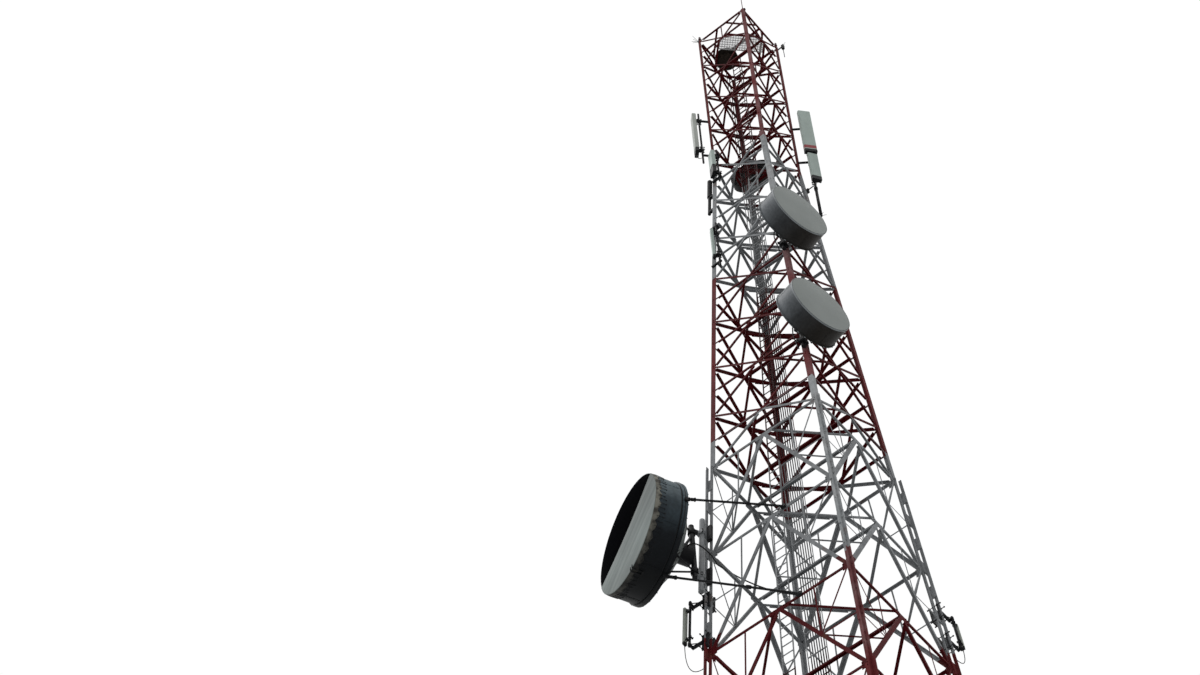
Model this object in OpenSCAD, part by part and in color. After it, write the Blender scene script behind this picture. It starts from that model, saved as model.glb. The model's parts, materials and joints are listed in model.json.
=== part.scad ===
// Self-supporting lattice telecom tower, a 1:2 scale model of a 72 m tower.
// The origin is on the ground under the middle of the near leg's base plate. X and Y run along the faces.
// The modules are drawn round the tower's middle, and placed() moves them to the origin.

/* [Tower] */
// Height of the legs above the ground
tower_h = 36000; // [35900:50:36100]
// Width over the leg heels in the straight top part
top_w = 900; // [880:10:960]
// Width over the leg heels at the ground
base_w = 3600; // [3500:50:3700]
// Height of the topmost braced panel
top_panel_h = 900; // [860:10:960]
// Height of each diamond-braced panel
x_panel_h = 1100; // [1090:5:1110]
// Number of diamond-braced panels under the topmost one
x_panels = 10; // [10:1:10]
// Number of those panels that belong to the straight top part
straight_panels = 3; // [3:1:3]
// Height of each K-braced panel under the diamond bracing
k_panel_h = 1700; // [1680:10:1720]
// Number of K-braced panels of that height
k_panels = 3; // [3:1:3]
// Number of taller K-braced bays from there to the ground
low_bays = 6; // [5:1:6]
// Share by which each of those bays is taller than the topmost of them, for each bay further down
low_growth = 0.1; // [0.05:0.01:0.15]
// Height of the lowest bracing node above the ground
foot_z = 320; // [300:10:360]

/* [Steel sections] */
// Flange width of the leg angles in the straight top part
leg_top_b = 45; // [42:1:50]
// Flange width of the leg angles in the diamond-braced taper
leg_mid_b = 65; // [60:1:70]
// Flange width of the doubled leg angles in the K-braced panels
leg_low_b = 38; // [36:1:42]
// Flange width of the doubled leg angles in the bottom bays
leg_base_b = 60; // [56:1:64]
// Distance of the K bracing's ends from the heels of the doubled legs
low_gauge = 29; // [28:1:31]
// The same in the bottom bays
base_gauge = 38; // [36:1:40]
// Gap between the heels of the doubled leg angles
leg_gap = 14; // [12:1:16]
// Height of the batten plates in that gap
batten_h = 200; // [180:10:220]
// Distance between the batten plates
batten_pitch = 440; // [420:10:480]
// Flange thickness of the leg angles in the straight top part
leg_top_t = 5; // [4:0.5:6]
// Flange thickness of the leg angles below it
leg_t = 8; // [7:0.5:9]
// Width of the diagonals in the straight top part
top_bar_b = 25; // [22:1:28]
// Width of the diagonals in the diamond-braced taper
x_bar_b = 32; // [28:1:36]
// Width of the diagonals in the K-braced panels and bays
k_bar_b = 45; // [40:1:50]
// Width of the horizontals and the plan bracing
rail_b = 32; // [28:1:36]
// Width of the secondary bracing
sub_b = 20; // [16:1:24]
// Thickness of all bracing bars
bar_t = 3; // [2.5:0.5:4]
// Gap left between a leg flange and the bar that laps it
lap_gap = 0.3; // [0.2:0.1:0.5]

/* [Footing] */
// Side of each square base plate
plate_w = 300; // [290:5:320]
// Thickness of each base plate
plate_t = 16; // [14:1:20]
// Distance between the anchor holes of a base plate
anchor_pitch = 220; // [215:5:230]
// Diameter of the anchor holes
anchor_d = 18; // [16:1:22]

/* [Ladders] */
// Width of the climbing ladder over its rails
ladder_w = 160; // [150:5:180]
// Distance from the left side of the tower to the middle of the climbing ladder
ladder_in = 393; // [385:1:400]
// Distance between rungs
rung_pitch = 150; // [140:5:160]
// Width of the feeder ladder over its rails
tray_w = 260; // [240:5:280]
// Distance from the tower's middle to the middle of the feeder ladder
tray_off = 175; // [165:5:185]
// Distance between the cross bars of the feeder ladder
tray_pitch = 400; // [350:10:450]
// Diameter of each feeder cable
feeder_d = 14; // [12:1:16]
// Number of feeder cables side by side
feeders = 7; // [5:1:8]
// Height at which the ladders start
ladder_z = 200; // [100:10:300]

/* [Drum antennas] */
// Outer diameter of the two shrouded drum antennas
drum_d = 880; // [860:10:900]
// Length of their shrouds
drum_len = 290; // [280:10:300]
// Direction that they face, from +X toward +Y
drum_turn = -14; // [-18:1:-10]
// Depth of the axis of the upper one below the tower's top
drum_1_drop = 7690; // [7650:10:7730]
// Depth of the axis of the lower one below the tower's top
drum_2_drop = 10310; // [10270:10:10350]
// Wall thickness of the shrouds
shroud_t = 5; // [4:1:8]

/* [Big dish] */
// Outer diameter of the big dish
dish_d = 1406; // [1400:2:1412]
// Length of its shroud
dish_len = 360; // [350:5:370]
// Depth of its reflector behind the shroud
dish_bowl = 250; // [230:10:260]
// Direction that it faces, from +X toward +Y
dish_turn = 245; // [244:0.5:246]
// Depth of its axis below the tower's top
dish_drop = 13718; // [13700:2:13740]
// Height of its mounting tube's middle above the axis
dish_tube_rise = 110; // [100:5:120]

/* [Antenna poles] */
// Diameter of the drum antennas' mounting pipes
drum_pipe_d = 57; // [54:1:60]
// Diameter of the big dish's mounting tube and of the pipe that carries it
dish_pipe_d = 66; // [60:1:70]
// Diameter of the panel antennas' poles
pole_d = 30; // [28:1:34]

/* [Panel antennas] */
// Width of the wide panel on the right
wide_panel_w = 190; // [180:5:200]
// Length of the wide panel
wide_panel_l = 1290; // [1250:10:1310]
// Width of the narrow panels
panel_w = 140; // [130:5:150]
// Length of the narrow panel on the upper left
panel_l = 1180; // [1150:10:1200]
// Depth of the panels
panel_deep = 62; // [55:1:70]

/* [Dish on the far leg] */
// Diameter of the dark dish on the far leg
rear_d = 660; // [640:10:680]
// Depth of its axis below the tower's top
rear_drop = 2940; // [2900:10:2980]

/* [Nest] */
// Diameter of the bird's nest on the plan bracing near the top
nest_d = 390; // [380:5:392]
// Height of the nest
nest_h = 200; // [180:10:220]

/* [Hidden] */
red = [0.45, 0.1, 0.1];
grey = [0.6, 0.62, 0.63];
dark = [0.13, 0.13, 0.14];

// heights of the bracing nodes
bend_z = tower_h - top_panel_h - straight_panels*x_panel_h;
x_low_z = tower_h - top_panel_h - x_panels*x_panel_h;
low_top_z = x_low_z - k_panels*k_panel_h;
low_weights = [for (i = [0:low_bays - 1]) 1 + low_growth*i];
function sum(v, n) = n == 0 ? 0 : v[n - 1] + sum(v, n - 1);
function low_z(i) = low_top_z - (low_top_z - foot_z)*sum(low_weights, i)/sum(low_weights, low_bays);
x_nodes = [for (i = [0:x_panels]) tower_h - top_panel_h - i*x_panel_h];
k_nodes = concat([for (i = [0:k_panels]) x_low_z - i*k_panel_h], [for (i = [1:low_bays]) low_z(i)]);
x_mids = concat([tower_h - top_panel_h/2], [for (i = [0:x_panels - 1]) (x_nodes[i] + x_nodes[i + 1])/2]);
top_rail_z = tower_h - rail_b/2 - 4;
last = len(k_nodes) - 1;
// bracing ends keep this far from the bend of the legs
bend_gap = 25;

// half of the width over the leg heels at a height
lean = atan((base_w - top_w)/2/bend_z);
function half_w(z) = z >= bend_z ? top_w/2 : (base_w - (base_w - top_w)*z/bend_z)/2;

// distance of the bracing's ends from the leg heels
function gauge(z) = z >= bend_z ? leg_top_b/2 : z >= x_low_z ? leg_mid_b/2 : z >= low_top_z ? low_gauge : base_gauge;

// depth of the bars' outer side behind the face of the tower
function bar_depth(top) = (top ? leg_top_t : leg_t) + lap_gap;

// a point of a face in the face's own plane: side is -1 to 1, from one leg's gauge line to the other's
function on_face_at(side, z) = [side*(half_w(z) - gauge(z)), z >= bend_z ? z : z/cos(lean)];

// each bar is [from, to, width, rib]; rib is 1 for an angle, 0 for a flat
function x_bars(za, zb, zc, b) = [
    [on_face_at(-1, zc), on_face_at(1, zc), rail_b, 1],
    for (s = [-1, 1], z = [za, zb]) [on_face_at(0, zc), on_face_at(s, z), b, 1]
];
function k_bars(za, zb) = concat(
    [[on_face_at(-1, zb), on_face_at(1, zb), rail_b, 1]],
    [for (s = [-1, 1]) [on_face_at(0, zb), on_face_at(s, za), k_bar_b, 1]],
    [for (s = [-1, 1]) let (m = (on_face_at(0, zb) + on_face_at(s, za))/2)
        each [[m, on_face_at(s, zb), sub_b, 0], [m, on_face_at(s, (za + zb)/2), sub_b, 0],
            [m, (on_face_at(0, zb) + on_face_at(s, zb))/2, sub_b, 0]]]
);
function joined(lists) = [for (l = lists) each l];

// gusset plates of the K panels, each [centre, width, height]
gusset_h = 120;
gusset_w = 110;
function k_gussets(z) = concat(
    [for (s = [-1, 1]) [on_face_at(s, z) - [s*gusset_w*0.16, 0], gusset_w, gusset_h]],
    z > foot_z ? [[on_face_at(0, z) - [0, k_bar_b*0.35], 2.2*gusset_w, 1.7*k_bar_b]] : []
);
top_bars = concat(
    [[on_face_at(-1, top_rail_z), on_face_at(1, top_rail_z), rail_b, 1]],
    [[on_face_at(0, top_rail_z), on_face_at(0, x_mids[0]), sub_b, 0]],
    x_bars(x_nodes[0], tower_h - rail_b, x_mids[0], top_bar_b),
    joined([for (i = [0:straight_panels - 1])
        x_bars(max(x_nodes[i + 1], bend_z + bend_gap), x_nodes[i], x_mids[i + 1], top_bar_b)])
);
taper_bars = concat(
    joined([for (i = [straight_panels:x_panels - 1])
        x_bars(x_nodes[i + 1], min(x_nodes[i], bend_z - bend_gap), x_mids[i + 1], x_bar_b)]),
    joined([for (i = [0:last - 1]) k_bars(k_nodes[i + 1], k_nodes[i])])
);

// a flat strip between two points of a plane
module strip(a, b, w) {
    translate(a) rotate(atan2(b.y - a.y, b.x - a.x)) translate([0, -w/2]) square([norm(b - a), w]);
}

// the standing flange of a bar that lies flat in a face
module rib(a, b, w) {
    cope = min(60, norm(b - a)/6);
    translate([a.x, a.y, 0]) rotate([0, 0, atan2(b.y - a.y, b.x - a.x)])
        translate([cope, b.x > a.x ? w/2 - bar_t : -w/2, -w])
            cube([norm(b - a) - 2*cope, bar_t, w]);
}

// puts children drawn flat into face number i, counted from the front one toward the right
module on_face(i, top) {
    rotate([0, 0, 90*i]) translate([0, -(top ? top_w : base_w)/2, 0])
        rotate([top ? 90 : 90 - lean, 0, 0]) translate([0, 0, -bar_depth(top)]) children();
}

module lattice(bars, gussets = []) {
    translate([0, 0, -bar_t]) linear_extrude(bar_t) {
        for (b = bars) strip(b[0], b[1], b[2]);
        for (g = gussets) translate(g[0]) square([g[1], g[2]], center = true);
    }
    for (b = bars) if (b[3] == 1) rib(b[0], b[1], b[2]);
}

module face_top(i) {
    color(red) on_face(i, true) lattice(top_bars);
}

module face_taper(i) {
    color(grey) on_face(i, false) lattice(taper_bars, joined([for (z = k_nodes) k_gussets(z)]));
}

// turns the z axis of its children from p1 toward p2, and their x axis toward side
module along(p1, p2, side) {
    d = (p2 - p1)/norm(p2 - p1);
    tilt = acos(d.z);
    turn = atan2(d.y, d.x);
    x1 = [cos(tilt)*cos(turn), cos(tilt)*sin(turn), -sin(tilt)];
    y1 = cross(d, x1);
    translate(p1) rotate([0, tilt, turn]) rotate([0, 0, atan2(side*y1, side*x1)]) children();
}

module angle_profile(b, t) {
    polygon([[0, 0], [b, 0], [b, t], [t, t], [t, b], [0, b]]);
}

// a point on the heel of the near leg, or on its line run on past the bend
function heel(z, taper) = let (w = taper ? (base_w - (base_w - top_w)*z/bend_z)/2 : top_w/2) [w, -w, z];

// puts children at a height of leg number i: z along the leg, x and y inward along its flanges
module on_leg(i, z) {
    taper = z < bend_z;
    rotate([0, 0, 90*i]) along(heel(z, taper), heel(z + 1000, taper), [0, 1, 0]) children();
}

// one length of a leg between two heights, with level ends; a doubled one has a second angle outside it
module leg_run(z1, z2, b, t, doubled) {
    over = 20;
    taper = z2 <= bend_z;
    p1 = heel(z1 - over, taper);
    p2 = heel(z2 + over, taper);
    intersection() {
        along(p1, p2, [0, 1, 0]) linear_extrude(norm(p2 - p1)) {
            angle_profile(b, t);
            if (doubled) translate([-leg_gap, -leg_gap]) rotate(180) angle_profile(b, t);
        }
        translate([0, -base_w, z1]) cube([base_w, base_w, z2 - z1]);
    }
}

// the batten plates that join the two angles of a doubled leg, each turned across the one before
batten_in = 4;
batten_lap = 0.5;
module battens(z1, z2, b) {
    n = floor((z2 - z1 - batten_h)/batten_pitch);
    first = (z2 - z1 - (n - 1)*batten_pitch)/2;
    for (k = [0:n - 1]) on_leg(0, z1 + first + k*batten_pitch)
        mirror(k%2 == 0 ? [0, 0, 0] : [1, -1, 0])
            translate([batten_in - leg_gap - b, -leg_gap - batten_lap, -batten_h/2])
                cube([2*b + leg_gap - 2*batten_in, leg_gap + 2*batten_lap, batten_h]);
}

module leg(i) {
    color(red) rotate([0, 0, 90*i]) {
        leg_run(plate_t, low_top_z, leg_base_b, leg_t, true);
        leg_run(low_top_z, x_low_z, leg_low_b, leg_t, true);
        leg_run(x_low_z, bend_z, leg_mid_b, leg_t, false);
        leg_run(bend_z, tower_h, leg_top_b, leg_top_t, false);
        battens(plate_t, low_top_z, leg_base_b);
        battens(low_top_z, x_low_z, leg_low_b);
    }
}

module placed() {
    translate([-base_w/2, base_w/2, 0]) children();
}

module base_plates() {
    color(grey) for (i = [0:3]) rotate([0, 0, 90*i]) translate([base_w/2, -base_w/2, 0]) difference() {
        translate([-plate_w/2, -plate_w/2, 0]) cube([plate_w, plate_w, plate_t]);
        for (x = [-1, 1], y = [-1, 1])
            translate([x*anchor_pitch/2, y*anchor_pitch/2, -1]) cylinder(d = anchor_d, h = plate_t + 2, $fn = 32);
    }
}

// level of the plan bars, which lie on the standing flanges of the horizontals
flange_in = 14;
function plan_z(z) = z + rail_b/2*cos(lean) - (z > bend_z ? 0 : flange_in*sin(lean)) + 0.1;
function plan_reach(z) = half_w(z + rail_b/2) - flange_in;
plan_levels = concat([top_rail_z], x_mids, [for (i = [0:last - 1]) k_nodes[i]]);
// distance of the plan bars' ends from the middle of a horizontal
plan_off = 75;
plan_over = 12;
// the hanging flanges of plan bars and beams are this deep, and stop short of the tower's sides
hang = 24;
plan_cope = 90;

module plan_bracing() {
    color(red) for (z = plan_levels, i = [0:3]) let (r = plan_reach(z))
        rotate([0, 0, 90*i]) translate([0, 0, plan_z(z)]) {
            a = [plan_off, -r];
            b = [r, -plan_off];
            u = (b - a)/norm(b - a)*plan_over;
            linear_extrude(bar_t) intersection() {
                strip(a - u, b + u, rail_b);
                square(2*r, center = true);
            }
            translate(a) rotate([0, 0, atan2(b.y - a.y, b.x - a.x)])
                translate([plan_cope, -rail_b/2, -hang]) cube([norm(b - a) - 2*plan_cope, bar_t, hang + bar_t/2]);
        }
}

// short bars across each corner at the middle of the K panels
module corner_bracing() {
    color(grey) for (n = [0:last - 1], i = [0:3]) {
        m = (on_face_at(0, k_nodes[n]) + on_face_at(1, k_nodes[n + 1]))/2;
        z = m.y*cos(lean);
        r = half_w(z) - bar_depth(false) - bar_t - 0.2;
        rotate([0, 0, 90*i]) translate([0, 0, z - bar_t/2]) linear_extrude(bar_t) intersection() {
            strip([m.x - 40, -r - 40], [r + 40, -m.x + 40], sub_b);
            square(2*r, center = true);
        }
    }
}

// beams from the left to the right side of the tower that carry both ladders
beam_b = 40;
beam_cope = 65;
module cross_beams() {
    color(red) for (z = plan_levels) let (r = plan_reach(z)) translate([0, 0, plan_z(z)]) {
        translate([-r, -beam_b/2, 0]) cube([2*r, beam_b, bar_t]);
        for (y = [-beam_b/2, beam_b/2 - bar_t])
            translate([beam_cope - r, y, -hang]) cube([2*(r - beam_cope), bar_t, hang + bar_t/2]);
    }
}

// middle of the climbing ladder, which keeps its distance from the left side of the tower
ladder_drop = 500;
ladder_top = tower_h - ladder_drop;
function ladder_x(z) = ladder_in - half_w(z);
rail_d = 22;
rail_t = 6;
rung_b = 10;
module ladder() {
    n = floor((ladder_top - ladder_z)/rung_pitch) - 1;
    stops = [ladder_z, bend_z, ladder_top];
    color(grey) {
        for (s = [-1, 1]) translate([0, -beam_b/2, 0]) rotate([90, 0, 0]) linear_extrude(rail_d)
            translate([s*(ladder_w - rail_t)/2, 0]) polygon(concat(
                [for (z = stops) [ladder_x(z) - rail_t/2, z]],
                [for (i = [2:-1:0]) [ladder_x(stops[i]) + rail_t/2, stops[i]]]));
        for (i = [1:n]) let (z = ladder_z + i*rung_pitch)
            translate([ladder_x(z) - ladder_w/2 + rail_t - 1, -beam_b/2 - rail_d/2 - rung_b/2, z])
                cube([ladder_w - 2*rail_t + 2, rung_b, rung_b]);
    }
}

tray_t = 12;
module feeder_ladder() {
    n = floor((ladder_top - ladder_z)/tray_pitch) - 1;
    color(grey) translate([-tray_off, beam_b/2, ladder_z]) {
        for (s = [-1, 1]) translate([s*(tray_w - rail_t)/2 - rail_t/2, 0, 0])
            cube([rail_t, tray_t, ladder_top - ladder_z]);
        for (i = [1:n]) translate([rail_t - tray_w/2 - 1, 0, i*tray_pitch]) cube([tray_w - 2*rail_t + 2, tray_t, tray_t]);
    }
}

// each feeder cable ends a little lower than the one before
feeder_start = 100;
feeder_first = 300;
feeder_step = 900;
module feeder_cables() {
    pitch = (tray_w - 40)/feeders;
    color(dark) for (i = [0:feeders - 1])
        translate([(i - (feeders - 1)/2)*pitch - tray_off, beam_b/2 + tray_t + feeder_d/2, ladder_z + feeder_start])
            cylinder(d = feeder_d, h = ladder_top - ladder_z - feeder_start - feeder_first - i*feeder_step, $fn = 24);
}

// the top platform is a grating on the highest plan bracing, over the near half only
grate_t = 6;
grate_pitch = 40;
grate_bar = 8;
grate_off = 92;
grate_edge = 30;
grate_half = (plan_reach(x_mids[0]) + plan_off)/sqrt(2) - 6;
module grate_area(inset) {
    intersection() {
        square(2*(plan_reach(x_mids[0]) - grate_edge - inset), center = true);
        rotate(45) translate([0, -(grate_off + grate_half)/2])
            square([2*(grate_half - inset), grate_half - grate_off - 2*inset], center = true);
    }
}
module top_platform() {
    n = floor(2*grate_half/grate_pitch);
    m = floor((grate_half - grate_off)/grate_pitch);
    color([0.75, 0.75, 0.74]) translate([0, 0, plan_z(x_mids[0]) + bar_t + 0.1]) linear_extrude(grate_t) difference() {
        grate_area(0);
        intersection() {
            grate_area(grate_bar);
            rotate(45) translate([0, -(grate_off + grate_half)/2]) for (i = [0:n - 1], j = [0:m - 1])
                translate([(i - (n - 1)/2)*grate_pitch, (j - (m - 1)/2)*grate_pitch])
                    square(grate_pitch - grate_bar, center = true);
        }
    }
}

// a bird's nest lies on the same plan bracing, over its left half
nest_x = -213;
nest_y = -60;
module nest() {
    r = nest_d/2;
    rows = 8;
    side = [for (i = [0:rows]) let (a = 140*i/rows - 50) [r*cos(a), nest_h*(sin(50) + sin(a))/(1 + sin(50))]];
    hollow = 0.75*nest_h;
    color([0.16, 0.11, 0.08]) translate([nest_x, nest_y, plan_z(x_mids[0]) + bar_t + 0.2])
        rotate_extrude($fn = 96) polygon(concat([[0, 0]], [for (p = side) if (p.x > 0.45*r) p],
            [[0.35*r, 0.92*nest_h], [0, hollow]]));
}

rod_l = 750;
rod_d = [12, 7];
rod_foot = 8;
foot_w = 36;
foot_in = 20;
module lightning_rod() {
    color(grey) translate([top_w/2 - foot_in, -top_w/2 + foot_in, tower_h]) {
        translate([-foot_w/2, -foot_w/2, 0]) cube([foot_w, foot_w, rod_foot]);
        translate([0, 0, rod_foot]) cylinder(d = rod_d[0], h = rod_l*0.6, $fn = 16);
        translate([0, 0, rod_foot + rod_l*0.6]) cylinder(d = rod_d[1], h = rod_l*0.4, $fn = 16);
    }
}

// each lamp is a stem, a collar and a domed glass
lamp_stem = 60;
lamp_collar = 12;
lamp_d = 40;
lamp_h = 60;
module corner_lamps() {
    color(dark) for (i = [1, 3]) rotate([0, 0, 90*i])
        translate([top_w/2 - foot_in, -top_w/2 + foot_in, tower_h]) {
            translate([-foot_w/2, -foot_w/2, 0]) cube([foot_w, foot_w, rod_foot]);
            translate([0, 0, rod_foot/2]) cylinder(d = 14, h = lamp_stem - rod_foot/2, $fn = 24);
            translate([0, 0, lamp_stem]) cylinder(d = lamp_d + 10, h = lamp_collar, $fn = 24);
            translate([0, 0, lamp_stem + lamp_collar]) cylinder(d = lamp_d, h = lamp_h, $fn = 24);
            translate([0, 0, lamp_stem + lamp_collar + lamp_h]) sphere(d = lamp_d, $fn = 24);
        }
}

// gap between a clamp and the flange that it is bolted to, upright or leaning
flange_gap = 0.3;
lean_gap = 1.5;

// turns children so that their z axis points level toward turn, with their y axis level too
module facing(p, turn) {
    translate(p) rotate([0, 0, turn]) rotate([0, 90, 0]) children();
}

module tube(d, wall, h) {
    difference() {
        cylinder(d = d, h = h, $fn = 96);
        translate([0, 0, -1]) cylinder(d = d - 2*wall, h = h + 2, $fn = 96);
    }
}

// a drum antenna stands on a vertical pipe beside the near leg
drum_cone = 50;
drum_hub = 20;
drum_hub_d = 180;
cone_foot_d = 260;
drum_rim = 12;
pipe_out = [15, -75];
drum_1_z = tower_h - drum_1_drop;
drum_2_z = tower_h - drum_2_drop;
drum_front = drum_len + drum_cone + drum_hub + drum_pipe_d/2;
function drum_pipe(z) = [half_w(z) + pipe_out.x, -half_w(z) + pipe_out.y, z];
function drum_face(z) = drum_pipe(z) + drum_front*[cos(drum_turn), sin(drum_turn), 0];

module drum_shroud(z) {
    color([0.2, 0.22, 0.25]) facing(drum_face(z), drum_turn) translate([0, 0, -drum_len]) {
        tube(drum_d, shroud_t, drum_len);
        difference() {
            cylinder(d = drum_d + 2*drum_rim, h = drum_rim, $fn = 96);
            translate([0, 0, -1]) cylinder(d = drum_d - 2*shroud_t, h = drum_rim + 2, $fn = 96);
        }
    }
}

radome_rise = 26;
radome_lip = 8;
module drum_radome(z) {
    w = drum_d - 2*shroud_t - 1;
    r = (w*w/4 + radome_rise*radome_rise)/2/radome_rise;
    arc = asin(w/2/r);
    curve = [for (i = [0:8]) let (a = arc*(1 - i/8)) [r*sin(a), radome_rise - r*(1 - cos(a))]];
    color([0.52, 0.55, 0.53]) facing(drum_face(z), drum_turn)
        rotate_extrude($fn = 96) polygon(concat([[0, -radome_lip], [w/2, -radome_lip]], curve));
}

module drum_reflector(z) {
    w = drum_d - 2*shroud_t;
    color([0.35, 0.37, 0.39]) facing(drum_face(z), drum_turn) translate([0, 0, -drum_len]) {
        difference() {
            translate([0, 0, -drum_cone]) cylinder(d1 = cone_foot_d, d2 = w, h = drum_cone, $fn = 96);
            translate([0, 0, -drum_cone + 6]) cylinder(d1 = cone_foot_d - 20, d2 = w - 12, h = drum_cone - 5, $fn = 96);
        }
        translate([0, 0, -drum_cone - drum_hub + flange_gap]) cylinder(d = drum_hub_d, h = drum_hub - flange_gap, $fn = 48);
    }
}

// a block that grips a vertical pipe and reaches back to the leg's front flange
block_wall = 14;
module leg_clamp(pipe, d, z, h) {
    face = -half_w(z) - (z > bend_z + h ? flange_gap : lean_gap);
    out = d/2 + block_wall;
    left = min(half_w(z) - leg_top_b, pipe.x - out);
    difference() {
        translate([left, pipe.y - out, z - h/2]) cube([pipe.x + out - left, face - pipe.y + out, h]);
        translate([pipe.x, pipe.y, z - h]) cylinder(d = d + 0.4, h = 2*h, $fn = 48);
    }
}

// the drum's hub is held between two flat bars that cross its pipe
drum_pipe_l = 900;
hub_bar = [30, 120];
hub_bar_off = 70;
module drum_mount(z) {
    p = drum_pipe(z);
    color([0.16, 0.17, 0.19]) {
        translate([p.x, p.y, z - drum_pipe_l/2]) cylinder(d = drum_pipe_d, h = drum_pipe_l, $fn = 48);
        for (s = [-1, 1]) leg_clamp(p, drum_pipe_d, z + s*drum_pipe_l*0.38, 50);
        facing(p, drum_turn) for (s = [-1, 1])
            translate([s*hub_bar_off - hub_bar.x/2, -hub_bar.y/2, -drum_pipe_d/2 - 10])
                cube([hub_bar.x, hub_bar.y, drum_pipe_d + 10 - flange_gap]);
    }
}

// the big dish hangs on a tube that two arms hold off a pipe along the left leg
carrier_out = [-60, -66];
tube_out = [-101, -168];
dish_tube_l = 950;
carrier_l = 1320;
dish_hub = 176;
dish_hub_d = 240;
dish_seat = 20;
dish_reach = dish_len - dish_seat + dish_bowl + dish_hub + dish_pipe_d/2;
saddle_h = 60;
arm_rise = 400;
arm_w = 44;
arm_h = 40;
dish_z = tower_h - dish_drop;
dish_mid = dish_z + dish_tube_rise;
dish_tube = [tube_out.x - half_w(dish_mid), tube_out.y - half_w(dish_mid), dish_mid];
dish_face = [dish_tube.x, dish_tube.y, dish_z] + dish_reach*[cos(dish_turn), sin(dish_turn), 0];
// the ring where shroud and reflector meet
ring_out = 16;
ring_back = 20;
ring_l = 60;

module dish_shroud() {
    color([0.22, 0.25, 0.28]) facing(dish_face, dish_turn) translate([0, 0, -dish_len]) {
        tube(dish_d, shroud_t, dish_len);
        difference() {
            translate([0, 0, -ring_back]) cylinder(r = dish_d/2 + ring_out, h = ring_l, $fn = 96);
            translate([0, 0, -ring_back - 1]) cylinder(d = dish_d - 2*shroud_t, h = ring_l + 2, $fn = 96);
        }
    }
}

// the reflector is a paraboloid with a hub behind it
bowl_steps = 10;
bowl_t = 6;
module dish_reflector() {
    r = dish_d/2 - shroud_t - 1;
    curve = [for (i = [0:bowl_steps]) [r*i/bowl_steps, -dish_bowl*(1 - pow(i/bowl_steps, 2))]];
    back = [for (i = [bowl_steps:-1:0]) curve[i] - [0, bowl_t + 2]];
    color([0.5, 0.52, 0.52]) facing(dish_face, dish_turn) translate([0, 0, -dish_len + dish_seat]) {
        rotate_extrude($fn = 96) polygon(concat(curve, back));
        translate([0, 0, -dish_bowl - dish_hub]) cylinder(d = dish_hub_d, h = dish_hub - bowl_t, $fn = 48);
    }
}

// what is left of the cover closes the lower part of the mouth, up to the tear between two points of the
// rim, each [sideways, down] from the axis; its hem goes round the shroud's lower part
tear = [[-616, 120], [558, -375]];
cover_t = 3;
hem_l = 70;
hem_from = 250;
module dish_cover() {
    r = dish_d/2;
    past = r + 50;
    color([0.62, 0.65, 0.63]) facing(dish_face, dish_turn) {
        linear_extrude(cover_t) intersection() {
            circle(r = r + cover_t, $fn = 96);
            polygon([[tear[0].y, tear[0].x], [tear[1].y, tear[1].x], [tear[1].y, past], [past, past],
                [past, -past], [tear[0].y, -past]]);
        }
        translate([0, 0, -hem_l]) difference() {
            cylinder(r = r + cover_t, h = hem_l, $fn = 96);
            translate([0, 0, -1]) cylinder(r = r + flange_gap, h = hem_l + 2, $fn = 96);
            translate([-past, -past, -2]) cube([past - hem_from, 2*past, hem_l + 4]);
        }
    }
}

// a block on the outside of doubled leg i that grips a pipe beside it, whose place is given from the heel
clamp_wall = 12;
module leg_saddle(i, z, pipe, d, h) {
    back = -leg_gap - leg_t - flange_gap;
    low = pipe - [1, 1]*(d/2 + clamp_wall);
    on_leg(i, z) translate([low.x, low.y, -h/2]) cube([back - low.x, back - low.y, h]);
}
function on_heel(i, z, p) = let (w = half_w(z), q = [w - p.y, p.x - w])
    i == 0 ? [q.x, q.y, z] : i == 1 ? [-q.y, q.x, z] : i == 2 ? [-q.x, -q.y, z] : [q.y, -q.x, z];

module dish_mount() {
    color([0.2, 0.21, 0.23]) {
        on_leg(3, dish_mid) translate([carrier_out.x, carrier_out.y, -carrier_l/2])
            cylinder(d = dish_pipe_d, h = carrier_l, $fn = 48);
        translate([dish_tube.x, dish_tube.y, dish_mid - dish_tube_l/2])
            cylinder(d = dish_pipe_d, h = dish_tube_l, $fn = 48);
        for (s = [-1, 1]) {
            z = dish_mid + s*arm_rise;
            q = on_heel(3, z, carrier_out);
            translate([0, 0, z]) linear_extrude(arm_h, center = true)
                strip([q.x, q.y], [dish_tube.x, dish_tube.y], arm_w);
            leg_saddle(3, z, carrier_out, dish_pipe_d, saddle_h);
        }
    }
}

// round bars that steady the big dish against the front face of the tower
strut_d = 26;
lug = [46, 30, 40];
lug_gap = 0.5;
pad = [60, 34, 40];
// each strut's place round the rim, and the height and side distance of its far end
strut_ends = [[6, k_nodes[1], 185], [80, k_nodes[2], 275]];
module dish_struts() {
    color([0.22, 0.23, 0.25]) for (e = strut_ends) {
        far = [e[2], -half_w(e[1]) - strut_d/2 - 4, e[1]];
        rim = dish_d/2 + ring_out + lug_gap + lug.y/2;
        near = facing_point(dish_face, dish_turn, [rim*sin(e[0]), rim*cos(e[0]), lug.z/2 - dish_len - 10]);
        along(near, far, [0, 0, -1]) cylinder(d = strut_d, h = norm(far - near), $fn = 24);
        facing(dish_face, dish_turn) rotate([0, 0, -e[0]])
            translate([-lug.x/2, rim - lug.y/2, -dish_len - 10]) cube(lug);
        translate([far.x - pad.x/2, -half_w(e[1]) + 7 - pad.y, far.z - pad.z/2]) cube(pad);
    }
}
// a point given in the frame of facing()
function facing_point(p, turn, q) = p + q.z*[cos(turn), sin(turn), 0] + q.y*[-sin(turn), cos(turn), 0] - [0, 0, q.x];

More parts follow.
